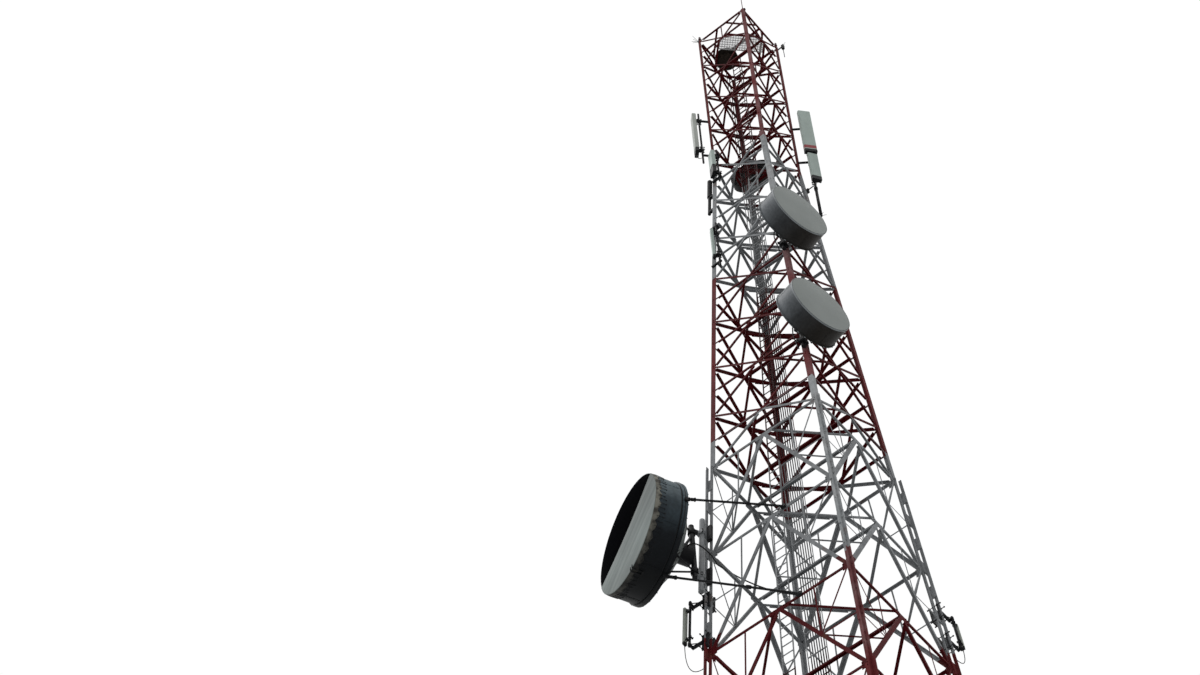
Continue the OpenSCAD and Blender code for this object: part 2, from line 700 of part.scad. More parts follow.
// a panel antenna with its black end cap; its back is at the origin and it faces -Y
module panel(w, l, deep, cap, round) {
    color([0.62, 0.65, 0.62]) translate([0, -deep/2, -l/2 + cap]) linear_extrude(l - cap) hull()
        for (x = [-1, 1], y = [-1, 1]) translate([x*(w/2 - round), y*(deep/2 - round)]) circle(r = round, $fn = 24);
    color([0.08, 0.08, 0.08]) translate([-w/2 + 3, -deep + 3, -l/2]) cube([w - 6, deep - 6, cap]);
}

// the poles stand beside the legs; each place is from the tower's middle
bracket = 34;
bracket_h = 24;
corner = top_w/2;
right_pole = [corner + 145, corner + 85];
left_pole = [-corner - 100, -corner - 85];
second_pole = [110 - corner, -corner - 45];
slim_z = tower_h - 6720;
slim_pole = [126 - half_w(slim_z), -half_w(slim_z) - 34];
low_pole = [-97, -185];
low_right_pole = [-75, -178];
low_left_z = tower_h - 14760;
low_right_z = tower_h - 14620;
low_slim = 56;
low_deep = 34;
low_cap = 30;
jumper_d = 9;
wave_d = 16;

// each panel's drop of its middle below the top, length and direction; the two low ones have half the
// distance between their arms in place of the drop
wide_at = [3190, wide_panel_l, 318];
right_at = [4285, 780, 325];
left_at = [3280, panel_l, 225];
second_at = [4420, 640, 235];
slim_at = [6720, 730, 225];
low_left_at = [350, 610, 0];
low_right_at = [250, 410, 12];

module panel_on(pole, at) {
    translate([pole.x, pole.y, tower_h - at[0]]) rotate([0, 0, at[2] + 90])
        translate([0, -pole_d/2 - bracket, 0]) children();
}
module panel_wide() panel_on(right_pole, wide_at) panel(wide_panel_w, wide_at[1], panel_deep + 10, 45, 20);
module panel_right() panel_on(right_pole, right_at) panel(panel_w + 10, right_at[1], panel_deep, 90, 14);
module panel_left() panel_on(left_pole, left_at) panel(panel_w, left_at[1], panel_deep, 90, 14);
module panel_left_lower() panel_on(second_pole, second_at) panel(panel_w, second_at[1], panel_deep, 200, 14);
module panel_slim() panel_on(slim_pole, slim_at) panel(70, slim_at[1], 40, 30, 10);

// the frame of an antenna beside doubled leg i; on the left leg the arms run along the other side
module beside_leg(i, z) {
    on_leg(i, z) mirror(i == 3 ? [1, -1, 0] : [0, 0, 0]) children();
}

// a small panel antenna beside a doubled leg; its pole follows the leg
module low_panel(i, z, place, at) {
    beside_leg(i, z) translate([place.x, place.y, 0]) rotate([0, 0, at[2]])
        translate([0, -pole_d/2 - bracket, 0]) panel(low_slim, at[1], low_deep, low_cap, 10);
}
module panel_low_left() low_panel(3, low_left_z, low_pole, low_left_at);
module panel_low_right() low_panel(1, low_right_z, low_right_pole, low_right_at);

module pole(p, drop, l) {
    translate([p.x, p.y, tower_h - drop - l/2]) cylinder(d = pole_d, h = l, $fn = 32);
}
module brackets(p, at, share) {
    for (s = [-1, 1]) translate([p.x, p.y, tower_h - at[0] + s*at[1]*share]) rotate([0, 0, at[2] + 90])
        translate([-20, 0.3 - pole_d/2 - bracket, -bracket_h/2]) cube([40, pole_d + bracket, bracket_h]);
}
// an arm from a leg of the straight top part to a pole, laid on the leg's outer side
arm_b = 26;
module arm(p, q, drop) {
    translate([0, 0, tower_h - drop]) linear_extrude(arm_b, center = true) difference() {
        strip([p.x, p.y], [q.x, q.y], arm_b);
        square(2*(corner + flange_gap), center = true);
    }
}
// a bar that lies on the front flange of the left leg and runs along the face to a pole
module face_arm(pole, drop) {
    z = tower_h - drop;
    back = -half_w(z) - lean_gap;
    translate([10 - half_w(z), pole.y - pole_d/2, z - arm_b/2])
        cube([pole.x + pole_d + half_w(z) - 10, back - pole.y + pole_d/2, arm_b]);
}
module poles_right() {
    color(dark) {
        pole(right_pole, 3950, 2600);
        brackets(right_pole, wide_at, 0.37);
        brackets(right_pole, right_at, 0.35);
        for (drop = [2900, 3970]) arm([corner - 10, corner - 28], right_pole, drop);
    }
}
module poles_left() {
    color(dark) {
        pole(left_pole, 3360, 1560);
        brackets(left_pole, left_at, 0.4);
        for (drop = [2800, 3900]) arm([10 - corner, 30 - corner], left_pole, drop);
        pole(second_pole, 4430, 900);
        brackets(second_pole, second_at, 0.375);
        for (drop = [4080, 4780]) face_arm(second_pole, drop);
        pole(slim_pole, 6710, 1150);
        brackets(slim_pole, slim_at, 0.41);
        for (drop = [6230, 7190]) face_arm(slim_pole, drop);
        tube_antenna();
    }
}

// a dark tube antenna along the outer side of the left leg, thicker in its upper half
tube_place = [-80, 32];
tube_l = 980;
module tube_antenna() {
    on_leg(3, tower_h - 5060) translate([tube_place.x, tube_place.y, -tube_l/2]) {
        cylinder(d = 46, h = tube_l, $fn = 32);
        translate([0, 0, tube_l/2]) cylinder(d = 72, h = tube_l/2 - 20, $fn = 32);
        for (z = [30, tube_l*0.45]) translate([0, -20, z]) cube([-tube_place.x - flange_gap, 40, 50]);
    }
}
// arms that lie on the outer flange of a doubled leg, and a pole along the leg at their ends
low_arm_h = 30;
low_flange_lap = 30;
module low_rig(i, z, place, at) {
    back = -leg_gap - leg_t - flange_gap;
    beside_leg(i, z) {
        translate([place.x, place.y, -at[0] - low_arm_h]) cylinder(d = pole_d, h = 2*(at[0] + low_arm_h), $fn = 32);
        for (s = [-1, 1]) translate([place.x - pole_d/2, place.y - pole_d/2, s*at[0] - low_arm_h/2])
            cube([back - place.x + pole_d/2, -place.y - low_flange_lap + pole_d/2, low_arm_h]);
        translate([place.x, place.y, 0]) rotate([0, 0, at[2]]) for (s = [-1, 1])
            translate([-18, 0.3 - pole_d/2 - bracket, s*at[1]*0.4 - bracket_h/2]) cube([36, pole_d + bracket, bracket_h]);
    }
}
module poles_low() {
    color(dark) {
        low_rig(3, low_left_z, low_pole, low_left_at);
        low_rig(1, low_right_z, low_right_pole, low_right_at);
    }
}

// a dark dish on the far leg, seen from behind
rear_pipe = [-10, -100];
rear_turn = -75;
rear_rim = 120;
rear_cone = 60;
module rear_dish() {
    z = tower_h - rear_drop;
    p = [half_w(z) + rear_pipe.x, -half_w(z) + rear_pipe.y, z];
    color([0.1, 0.1, 0.11]) rotate([0, 0, 180]) {
        translate([p.x, p.y, z - rear_d/2 - 50]) cylinder(d = pole_d, h = rear_d + 100, $fn = 32);
        for (s = [-1, 1]) leg_clamp(p, pole_d, z + s*(rear_d/2 + 20), 40);
        facing(p, rear_turn) {
            translate([0, 0, pole_d/2 - 5]) cylinder(d = 90, h = 31, $fn = 48);
            translate([0, 0, pole_d/2 + 25]) cylinder(d1 = 120, d2 = rear_d - 8, h = rear_cone, $fn = 96);
            translate([0, 0, pole_d/2 + 25]) tube(rear_d, 6, rear_rim);
        }
    }
}

// a free cable is a round tube along the points of its route, which keep clear of the direction side
cable_sides = 8;
module cable(route, d, side) {
    n = len(route);
    ahead = [for (i = [0:n - 1]) let (v = route[min(i + 1, n - 1)] - route[max(i - 1, 0)]) v/norm(v)];
    rings = [for (i = [0:n - 1]) let (u = cross(side, ahead[i]), e = u/norm(u), f = cross(ahead[i], e))
        for (k = [0:cable_sides - 1]) let (a = 360*k/cable_sides) route[i] + d/2*(cos(a)*e + sin(a)*f)];
    m = cable_sides;
    color(dark) polyhedron(rings, concat(
        [[for (k = [0:m - 1]) k]],
        [[for (k = [m - 1:-1:0]) (n - 1)*m + k]],
        [for (i = [0:n - 2], k = [0:m - 1]) let (a = i*m + k, b = i*m + (k + 1)%m) each
            [[a, a + m, b], [b, a + m, b + m]]]));
}

// a point between three others on a curve that starts at a and ends at c, drawn toward b
function bow(a, b, c, n) = [for (i = [0:n]) let (t = i/n) (1 - t)*(1 - t)*a + 2*t*(1 - t)*b + t*t*c];

// the wave guide sags from the hub of the big dish to the feeder ladder, past the left leg
wave_start = [0, dish_hub_d/2 + 2.5, dish_pipe_d/2 + 100 - dish_reach];
wave_drop = 132;
wave_in = 110;
module dish_cable() {
    a = facing_point(dish_face, dish_turn, wave_start);
    z = dish_z - wave_drop;
    b = [wave_in - half_w(z), -half_w(z), z];
    c = [-tray_off - tray_w/2 - wave_d/2 - flange_gap, beam_b/2 + tray_t/2, z - 30];
    first = bow(a, a + [150, -50, -40], b + [20, -120, 20], 11);
    second = bow(b, (b + c)/2 + [0, 0, -230], c, 17);
    cable(concat(first, second), wave_d, [0, 0, 1]);
}
// a pale jumper hangs from the lower end of the left panel to its pole
module left_cable() {
    s = sqrt(0.5);
    off = pole_d/2 + bracket + panel_deep/2;
    a = [left_pole.x - off*s, left_pole.y - off*s, tower_h - left_at[0] - left_at[1]/2 - 0.5];
    near = pole_d/2 + jumper_d/2 + flange_gap;
    c = [left_pole.x - near*s, left_pole.y - near*s, a.z - 120];
    cable(bow(a, a + [-8, -8, -190], c, 13), jumper_d, [1, -1, 0]);
}

// jumpers from the lower ends of the two low panels to the leg
module low_cable(i, z, place, at, fall) {
    off = pole_d/2 + bracket + low_deep/2;
    a = [place.x + off*sin(at[2]), place.y - off*cos(at[2]), -at[1]/2 - 0.5];
    c = [-leg_gap - leg_t - 0.3 - jumper_d/2, -leg_gap - leg_low_b/2, a.z - fall];
    beside_leg(i, z) cable(bow(a, [a.x, a.y + 20, a.z - 1.3*fall], c, 15), jumper_d, [1, 0, 0]);
}
low_left_fall = 480;
low_right_fall = 300;
module low_left_cable() low_cable(3, low_left_z, low_pole, low_left_at, low_left_fall);
module low_right_cable() low_cable(1, low_right_z, low_right_pole, low_right_at, low_right_fall);

placed() base_plates();
placed() leg(0);  // leg_front_right
placed() leg(1);  // leg_back_right
placed() leg(2);  // leg_back_left
placed() leg(3);  // leg_front_left
placed() face_top(0);  // face_front_top
placed() face_top(1);  // face_right_top
placed() face_top(2);  // face_back_top
placed() face_top(3);  // face_left_top
placed() face_taper(0);  // face_front
placed() face_taper(1);  // face_right
placed() face_taper(2);  // face_back
placed() face_taper(3);  // face_left
placed() plan_bracing();
placed() corner_bracing();
placed() cross_beams();
placed() ladder();
placed() feeder_ladder();
placed() feeder_cables();
placed() top_platform();
placed() lightning_rod();
placed() corner_lamps();
placed() drum_shroud(drum_1_z);  // drum_1_shroud
placed() drum_radome(drum_1_z);  // drum_1_radome
placed() drum_reflector(drum_1_z);  // drum_1_reflector
placed() drum_mount(drum_1_z);  // drum_1_mount
placed() drum_shroud(drum_2_z);  // drum_2_shroud
placed() drum_radome(drum_2_z);  // drum_2_radome
placed() drum_reflector(drum_2_z);  // drum_2_reflector
placed() drum_mount(drum_2_z);  // drum_2_mount
placed() dish_shroud();
placed() dish_reflector();
placed() dish_cover();
placed() dish_mount();
placed() dish_struts();
placed() panel_wide();
placed() panel_right();
placed() panel_left();
placed() panel_left_lower();
placed() panel_slim();
placed() panel_low_left();
placed() panel_low_right();
placed() poles_right();
placed() poles_left();
placed() poles_low();
placed() rear_dish();
placed() nest();
placed() dish_cable();
placed() left_cable();
placed() low_left_cable();
placed() low_right_cable();
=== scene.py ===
import bmesh
import bpy
import json
import math
import random
from mathutils import Matrix, Vector

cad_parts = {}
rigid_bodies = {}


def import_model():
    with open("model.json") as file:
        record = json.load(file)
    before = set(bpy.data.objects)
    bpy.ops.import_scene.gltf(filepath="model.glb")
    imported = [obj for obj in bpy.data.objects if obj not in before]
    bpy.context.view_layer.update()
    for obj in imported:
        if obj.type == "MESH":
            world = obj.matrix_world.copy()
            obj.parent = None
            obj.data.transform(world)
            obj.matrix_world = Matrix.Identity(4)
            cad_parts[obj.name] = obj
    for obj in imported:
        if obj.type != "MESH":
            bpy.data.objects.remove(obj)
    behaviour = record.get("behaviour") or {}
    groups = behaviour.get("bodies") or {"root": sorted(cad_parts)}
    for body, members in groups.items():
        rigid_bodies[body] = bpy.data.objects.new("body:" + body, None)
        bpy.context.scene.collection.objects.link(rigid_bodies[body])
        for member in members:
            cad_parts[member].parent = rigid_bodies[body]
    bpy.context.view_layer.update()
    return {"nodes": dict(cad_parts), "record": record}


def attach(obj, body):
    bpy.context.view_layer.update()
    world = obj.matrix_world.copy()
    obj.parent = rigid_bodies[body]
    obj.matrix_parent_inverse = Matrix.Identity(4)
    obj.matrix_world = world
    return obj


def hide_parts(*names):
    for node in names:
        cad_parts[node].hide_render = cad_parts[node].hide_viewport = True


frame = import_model()
nodes = frame["nodes"]
root = bpy.context.scene.collection.objects
S45 = math.sqrt(0.5)
Z_AXIS = Vector((0, 0, 1))

# main sizes of the tower, in metres
TOWER_H = 36.0
TOP_W = 0.9
BASE_W = 3.6
BEND_Z = 31.8
X_LOW_Z = 24.1
LOW_TOP_Z = 19.0
FOOT_Z = 0.32
TOP_PANEL_H = 0.9
X_PANEL_H = 1.1
K_PANEL_H = 1.7
LEAN = math.atan((BASE_W - TOP_W) / 2 / BEND_Z)
LEG_GAP = 0.014
LEG_T = 0.008
# outer face of a doubled leg, in the leg's frame
LEG_BACK = -LEG_GAP - LEG_T
# clearance between pieces that touch
SEAT = 0.0003
# radius of the antennas' poles, and how far a panel's bracket holds it off its pole
POLE_R = 0.015
BRACKET = 0.034

# from the middle of the four legs on the ground to the frame's origin
ORIGIN = Vector((BASE_W / 2, -BASE_W / 2, 0.0))

# the camera's place, from the middle of the four legs, and its three directions
EYE = Vector((8.314, -14.3101, 0.8))
EYE_RIGHT = Vector((0.768666, 0.639445, -0.016225))
EYE_UP = Vector((0.550588, -0.648516, 0.525622))
EYE_BACK = Vector((0.325584, -0.412961, -0.850563))
EYE_LENS = 72.935


def photo_camera():
    data = bpy.data.cameras.new("camera")
    data.lens = EYE_LENS
    data.sensor_width = 36.0
    data.sensor_fit = "HORIZONTAL"
    data.clip_end = 500.0
    cam = bpy.data.objects.new("camera", data)
    root.link(cam)
    turn = Matrix((EYE_RIGHT, EYE_UP, EYE_BACK)).transposed()
    cam.matrix_world = Matrix.Translation(EYE - ORIGIN) @ turn.to_4x4()
    bpy.context.scene.camera = cam


photo_camera()


# frames, all as 4x4 matrices
def half_w(z):
    """Half the tower's width over the legs at a height."""
    return TOP_W / 2 if z >= BEND_Z else (BASE_W - (BASE_W - TOP_W) * z / BEND_Z) / 2


def tower(x, y, z):
    """A point given from the middle of the four legs."""
    return Vector((x, y, z)) - ORIGIN


def at(p):
    return Matrix.Translation(tower(*p))


def axes(p, x, y, z):
    return at(p) @ Matrix((x, y, z)).transposed().to_4x4()


def level(turn):
    """The level direction at a turn from x toward y, in degrees."""
    t = math.radians(turn)
    return Vector((math.cos(t), math.sin(t), 0))


def facing(p, turn):
    """z points level toward turn, x points down."""
    return axes(p, Vector((0, 0, -1)), level(turn + 90), level(turn))


def toward(p, turn):
    """y points level away from turn, z points up: the frame of a panel antenna's back."""
    return at(p) @ Matrix.Rotation(math.radians(turn + 90), 4, "Z")


def round_tower(i):
    """Turns what belongs to the first leg or face to leg or face i."""
    middle = at((0, 0, 0))
    return middle @ Matrix.Rotation(math.pi / 2 * i, 4, "Z") @ middle.inverted()


def on_leg(i, z):
    """z runs up leg i, x and y inward along its flanges."""
    w = half_w(z)
    k = 0.0 if z >= BEND_Z else math.tan(LEAN)
    up = Vector((-k, k, 1)).normalized()
    x = (Vector((0, 1, 0)) - up * up.y).normalized()
    return round_tower(i) @ axes((w, -w, z), x, up.cross(x), up)


def beside_leg(i, z):
    """The frame of an antenna beside doubled leg i, mirrored on the left leg."""
    swap = Matrix(((0, 1, 0, 0), (1, 0, 0, 0), (0, 0, 1, 0), (0, 0, 0, 1)))
    return on_leg(i, z) @ swap if i == 3 else on_leg(i, z)


def face_frame(i, z):
    """Face i of the tower at a height: x along it, y up it, z out of its plane."""
    tilt = math.pi / 2 - (0 if z >= BEND_Z else LEAN)
    return round_tower(i) @ at((0, -half_w(z), z)) @ Matrix.Rotation(tilt, 4, "X")


def round_dish(a, r, z=0.0):
    """A point of a dish's frame at an angle from down, toward the frame's y."""
    t = math.radians(a)
    return Vector((r * math.cos(t), r * math.sin(t), z))


def spoke(m, a, r):
    """The frame at a rim's angle: x out from the axis, y along the rim, z as the dish."""
    return m @ Matrix.Rotation(math.radians(a), 4, "Z") @ Matrix.Translation((r, 0, 0))


def bow(a, b, c, n):
    """Points of a curve from a to c that leans toward b."""
    a, b, c = Vector(a), Vector(b), Vector(c)
    return [(1 - k / n) ** 2 * a + 2 * (k / n) * (1 - k / n) * b + (k / n) ** 2 * c for k in range(n + 1)]


FREE = Matrix.Identity(4)
MIDDLE = at((0, 0, 0))

# the big dish: x down, y sideways and z out of its mouth, from the middle of the mouth
DISH_Z = 22.282
DISH_R = 0.703
DISH_TURN = 245
DISH_MID = DISH_Z + 0.11
DISH_REACH = 0.799
DISH_TUBE = Vector((-0.101 - half_w(DISH_MID), -0.168 - half_w(DISH_MID), DISH_Z))
DISH = facing(DISH_TUBE + DISH_REACH * level(DISH_TURN), DISH_TURN)
DISH_AXIS = DISH.to_3x3().col[2]

# the drums on the near leg
DRUM_TURN = -14
DRUM_REACH = 0.3885
DRUMS = {"drum_1": TOWER_H - 7.69, "drum_2": TOWER_H - 10.31}


def drum_pipe(z):
    return Vector((half_w(z) + 0.015, -half_w(z) - 0.075, z))


def drum_frame(z):
    return facing(drum_pipe(z) + DRUM_REACH * level(DRUM_TURN), DRUM_TURN)


# the poles of the panel antennas, as seen from above
CORNER = TOP_W / 2
RIGHT_POLE = Vector((CORNER + 0.145, CORNER + 0.085))
LEFT_POLE = Vector((-0.55, -0.535))
SECOND_POLE = Vector((0.11 - CORNER, -CORNER - 0.045))
SLIM_DROP = 6.72
SLIM_W = half_w(TOWER_H - SLIM_DROP)
SLIM_POLE = Vector((0.126 - SLIM_W, -SLIM_W - 0.034))

# each low antenna: its frame, its pole's place, half the distance between its arms, its length and turn
LOW = {
    "low_left": (beside_leg(3, TOWER_H - 14.76), Vector((-0.097, -0.185, 0)), 0.35, 0.61, 0),
    "low_right": (beside_leg(1, TOWER_H - 14.62), Vector((-0.075, -0.178, 0)), 0.25, 0.41, 12),
}


# mesh building
def ring_faces(a, b, n):
    """Quads between two rings of n points, whose first points have the numbers a and b."""
    return [(a + j, a + (j + 1) % n, b + (j + 1) % n, b + j) for j in range(n)]


def ring(p, x, y, r, sides):
    """Points round p in the plane of the directions x and y."""
    turns = (2 * math.pi * k / sides for k in range(sides))
    return [p + r * (math.cos(t) * x + math.sin(t) * y) for t in turns]


class Form:
    """One piece as a joined mesh, whose parts are added in frames of their own."""

    def __init__(self, name, slot, *looks):
        self.name, self.slot, self.looks = name, slot, looks
        self.verts, self.faces, self.look_of, self.smooth = [], [], [], []

    def add(self, m, verts, faces, look=0, smooth=False):
        n = len(self.verts)
        self.verts += [m @ Vector(v) for v in verts]
        self.faces += [tuple(n + i for i in f) for f in faces]
        self.look_of += [look] * len(faces)
        self.smooth += [smooth] * len(faces)

    def box(self, m, low, high, look=0):
        verts = [(x, y, z) for x in (low[0], high[0]) for y in (low[1], high[1]) for z in (low[2], high[2])]
        faces = [(0, 1, 3, 2), (4, 6, 7, 5), (0, 4, 5, 1), (2, 3, 7, 6), (0, 2, 6, 4), (1, 5, 7, 3)]
        self.add(m, verts, faces, look)

    def rod(self, m, a, b, r, sides=8, look=0, r_end=None):
        """A bar between two points, smooth round if it has more than six sides."""
        a, b = Vector(a), Vector(b)
        d = (b - a).normalized()
        x = d.orthogonal().normalized()
        y = d.cross(x)
        verts = ring(a, x, y, r, sides) + ring(b, x, y, r if r_end is None else r_end, sides)
        ends = [tuple(range(sides))[::-1], tuple(range(sides, 2 * sides))]
        n = len(self.faces)
        self.add(m, verts, ring_faces(0, sides, sides) + ends, look)
        self.smooth[n:n + sides] = [sides > 6] * sides

    def stud(self, m, a, b, r, nuts, nut_r, sides=8, look=0):
        """A threaded rod between two points, with nuts that start and end at distances from the first."""
        a, b = Vector(a), Vector(b)
        d = (b - a).normalized()
        self.rod(m, a, b, r, sides, look)
        for start, end in nuts:
            self.rod(m, a + d * start, a + d * end, nut_r, 6)

    def bolt(self, m, p, way=Z_AXIS, r=0.007, h=0.005, look=0):
        """A hexagon head on a point, with the end of its shank."""
        p, way = Vector(p), Vector(way)
        self.rod(m, p, p + way * h, r, 6, look)
        self.rod(m, p + way * h, p + way * h * 1.8, r * 0.5, 6, look)

    def lathe(self, m, profile, sides=96, look=0):
        """A closed profile of (radius, z) points turned round z."""
        verts, faces, n = [], [], len(profile)
        for k in range(sides):
            verts += [round_dish(360 * k / sides, r, z) for r, z in profile]
            faces += ring_faces(k * n, (k + 1) % sides * n, n)
        self.add(m, verts, faces, look)

    def path(self, m, points, r, sides=6, look=0):
        """A round bar through the points."""
        points = [Vector(p) for p in points]
        last = len(points) - 1
        verts, faces = [], []
        side = None
        for k, p in enumerate(points):
            d = (points[min(k + 1, last)] - points[max(k - 1, 0)]).normalized()
            side = d.orthogonal().normalized() if side is None else (side - d * side.dot(d)).normalized()
            verts += ring(p, side, d.cross(side), r, sides)
        for k in range(last):
            faces += ring_faces(k * sides, (k + 1) * sides, sides)
        ends = [tuple(range(sides))[::-1], tuple(range(last * sides, (last + 1) * sides))]
        self.add(m, verts, faces + ends, look, True)
        self.smooth[-2:] = [False, False]

    def done(self, *replaced):
        """Makes the piece, which rides on the tower and replaces the solids named."""
        me = bpy.data.meshes.new(self.name)
        me.from_pydata(self.verts, [], self.faces)
        for look in self.looks:
            me.materials.append(look)
        me.polygons.foreach_set("material_index", self.look_of)
        me.polygons.foreach_set("use_smooth", self.smooth)
        bm = bmesh.new()
        bm.from_mesh(me)
        bmesh.ops.recalc_face_normals(bm, faces=bm.faces)
        bm.to_mesh(me)
        bm.free()
        ob = bpy.data.objects.new(self.name, me)
        root.link(ob)
        if replaced:
            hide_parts(*replaced)
        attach(ob, "root")
        return ob


# free cables
CABLE_SIDES = 12
WAVE_D = 0.016
JUMPER_D = 0.009
# half the depth of the upper left antenna's shell, and of a low one's
LEFT_HALF_DEEP = 0.031
LOW_HALF_DEEP = 0.017
# the side of the feeder cables, from the middle of the four legs
FEEDER_SIDE = Vector((-0.175 - 0.13, 0.026))


def cable(name, route, d):
    """A cable of diameter d along the route's points, in place of the solid of the same name."""
    tube = Form(name + "_run", "cable")
    tube.path(FREE, route, d / 2, CABLE_SIDES)
    ob = tube.done(name)
    return ob


def dish_cable():
    """From the hub of the big dish past the left leg to the side of the feeder cables."""
    start = DISH @ Vector((0, 0.1225, 0.133 - DISH_REACH))
    z = DISH_Z - 0.132
    by_leg = tower(0.11 - half_w(z), -half_w(z), z)
    end = tower(FEEDER_SIDE.x - WAVE_D / 2 - SEAT, FEEDER_SIDE.y, z - 0.03)
    route = bow(start, start + Vector((0.15, -0.05, -0.04)), by_leg + Vector((0.02, -0.12, 0.02)), 11)
    route += bow(by_leg, (by_leg + end) / 2 - Z_AXIS * 0.23, end, 17)
    return cable("dish_cable", route, WAVE_D)


def left_cable():
    """From under the upper left antenna to its pole."""
    off = (POLE_R + BRACKET + LEFT_HALF_DEEP) * S45
    near = (POLE_R + JUMPER_D / 2 + SEAT) * S45
    start = Vector((LEFT_POLE.x - off, LEFT_POLE.y - off, 32.1295))
    end = Vector((LEFT_POLE.x - near, LEFT_POLE.y - near, start.z - 0.12))
    route = bow(start, start + Vector((-0.008, -0.008, -0.19)), end, 15)
    return cable("left_cable", [MIDDLE @ p for p in route], JUMPER_D)


def low_cable(name, fall):
    """From under a low antenna to its leg, which it meets a fall lower."""
    m, pole, _, length, turn = LOW[name]
    start = pole - (POLE_R + BRACKET + LOW_HALF_DEEP) * level(turn + 90)
    start -= Z_AXIS * (length / 2 + 0.0005)
    end = Vector((LEG_BACK - SEAT - JUMPER_D / 2, -LEG_GAP - 0.019, start.z - fall))
    route = bow(start, (start.x, start.y + 0.02, start.z - 1.3 * fall), end, 15)
    return cable(name + "_cable", [m @ p for p in route], JUMPER_D)


cable_runs = [dish_cable(), left_cable(), low_cable("low_left", 0.48), low_cable("low_right", 0.3)]


# shader trees
def node(t, kind, links=(), **values):
    """A node of a tree, with its inputs linked or set."""
    n = t.nodes.new(kind)
    for key, v in values.items():
        setattr(n, key, v)
    for socket, source in links:
        if isinstance(source, (int, float, tuple)):
            n.inputs[socket].default_value = source
        else:
            t.links.new(source, n.inputs[socket])
    return n


def ramp(t, fac, stops, mode="LINEAR"):
    """Grey or coloured stops, as (position, value) pairs."""
    r = node(t, "ShaderNodeValToRGB", [(0, fac)])
    r.color_ramp.interpolation = mode
    e = r.color_ramp.elements
    e[0].position, e[1].position = stops[0][0], stops[-1][0]
    for p, _ in stops[1:-1]:
        e.new(p)
    for k, (_, c) in zip(e, stops):
        k.color = (c, c, c, 1) if isinstance(c, float) else (*c, 1)
    return r.outputs["Color"]


def object_point(t):
    return node(t, "ShaderNodeTexCoord").outputs["Object"]


def noise(t, scale, detail=4.0, stretch=(1, 1, 1)):
    point = node(t, "ShaderNodeMapping", [(0, object_point(t)), ("Scale", stretch)]).outputs[0]
    return node(t, "ShaderNodeTexNoise", [(0, point), ("Scale", scale), ("Detail", detail)]).outputs[0]


def mix(t, fac, a, b, mode="MIX"):
    m = node(t, "ShaderNodeMix", data_type="RGBA", blend_type=mode)
    for name, kind, v in (("Factor", "VALUE", fac), ("A", "RGBA", a), ("B", "RGBA", b)):
        s = [i for i in m.inputs if i.name == name and i.type == kind][0]
        if isinstance(v, (int, float)):
            s.default_value = v
        elif isinstance(v, tuple):
            s.default_value = (*v, 1)
        else:
            t.links.new(v, s)
    return [o for o in m.outputs if o.type == "RGBA"][0]


def darkened(t, col, *layers):
    """A colour multiplied by grey layers."""
    for layer in layers:
        col = mix(t, 1.0, col, layer, "MULTIPLY")
    return col


def math_node(t, operation, a, b=0.0):
    return node(t, "ShaderNodeMath", [(0, a), (1, b)], operation=operation).outputs[0]


def vector_node(t, operation, a, b=(0, 0, 0)):
    return node(t, "ShaderNodeVectorMath", [(0, a), (1, b)], operation=operation)


def along_axis(t, p, way):
    """The way from a point to the one shaded, and how far that goes along a direction."""
    rel = vector_node(t, "SUBTRACT", object_point(t), tuple(p)).outputs[0]
    return rel, vector_node(t, "DOT_PRODUCT", rel, tuple(way)).outputs["Value"]


def from_axis(t, p, way):
    """How far the point shaded lies from an axis."""
    rel, _ = along_axis(t, p, way)
    off = vector_node(t, "CROSS_PRODUCT", rel, tuple(way)).outputs[0]
    return vector_node(t, "LENGTH", off).outputs["Value"]


# a plain sky, dark below the horizon and white above it, and one soft sun
SKY = [(0.0, 0.12), (0.47, 0.18), (0.53, 0.72), (0.8, 1.0), (1.0, 1.03)]
SKY_TINT = (0.995, 0.998, 1.0)
SUN_FROM = Vector((-0.55, -0.25, 0.75))


def studio_sky():
    world = bpy.data.worlds.new("studio")
    bpy.context.scene.world = world
    world.use_nodes = True
    t = world.node_tree
    t.nodes.clear()
    view = node(t, "ShaderNodeTexCoord").outputs["Generated"]
    height = node(t, "ShaderNodeSeparateXYZ", [(0, view)]).outputs["Z"]
    share = node(t, "ShaderNodeMapRange", [("Value", height), ("From Min", -1.0), ("From Max", 1.0)])
    col = ramp(t, share.outputs[0], [(p, tuple(v * c for c in SKY_TINT)) for p, v in SKY])
    back = node(t, "ShaderNodeBackground", [("Color", col)])
    node(t, "ShaderNodeOutputWorld", [(0, back.outputs[0])])


def soft_sun():
    data = bpy.data.lights.new("soft_sun", "SUN")
    data.energy = 0.9
    data.angle = 0.6
    sun = bpy.data.objects.new("soft_sun", data)
    root.link(sun)
    sun.rotation_euler = SUN_FROM.to_track_quat("Z", "Y").to_euler()


studio_sky()
soft_sun()


# finishes
def material(name):
    m = bpy.data.materials.new(name)
    m.use_nodes = True
    return m, m.node_tree


def finish(m, col, rough, grain, strength, depth, specular=0.2, detail=4.0):
    """Gives a material its colour, roughness and a fine bump of a grain."""
    t = m.node_tree
    p = t.nodes["Principled BSDF"]
    t.links.new(col, p.inputs["Base Color"])
    p.inputs["Roughness"].default_value = rough
    p.inputs["Specular IOR Level"].default_value = specular
    height = noise(t, grain, detail)
    b = node(t, "ShaderNodeBump", [("Height", height), ("Strength", strength), ("Distance", depth)])
    t.links.new(b.outputs[0], p.inputs["Normal"])
    return m


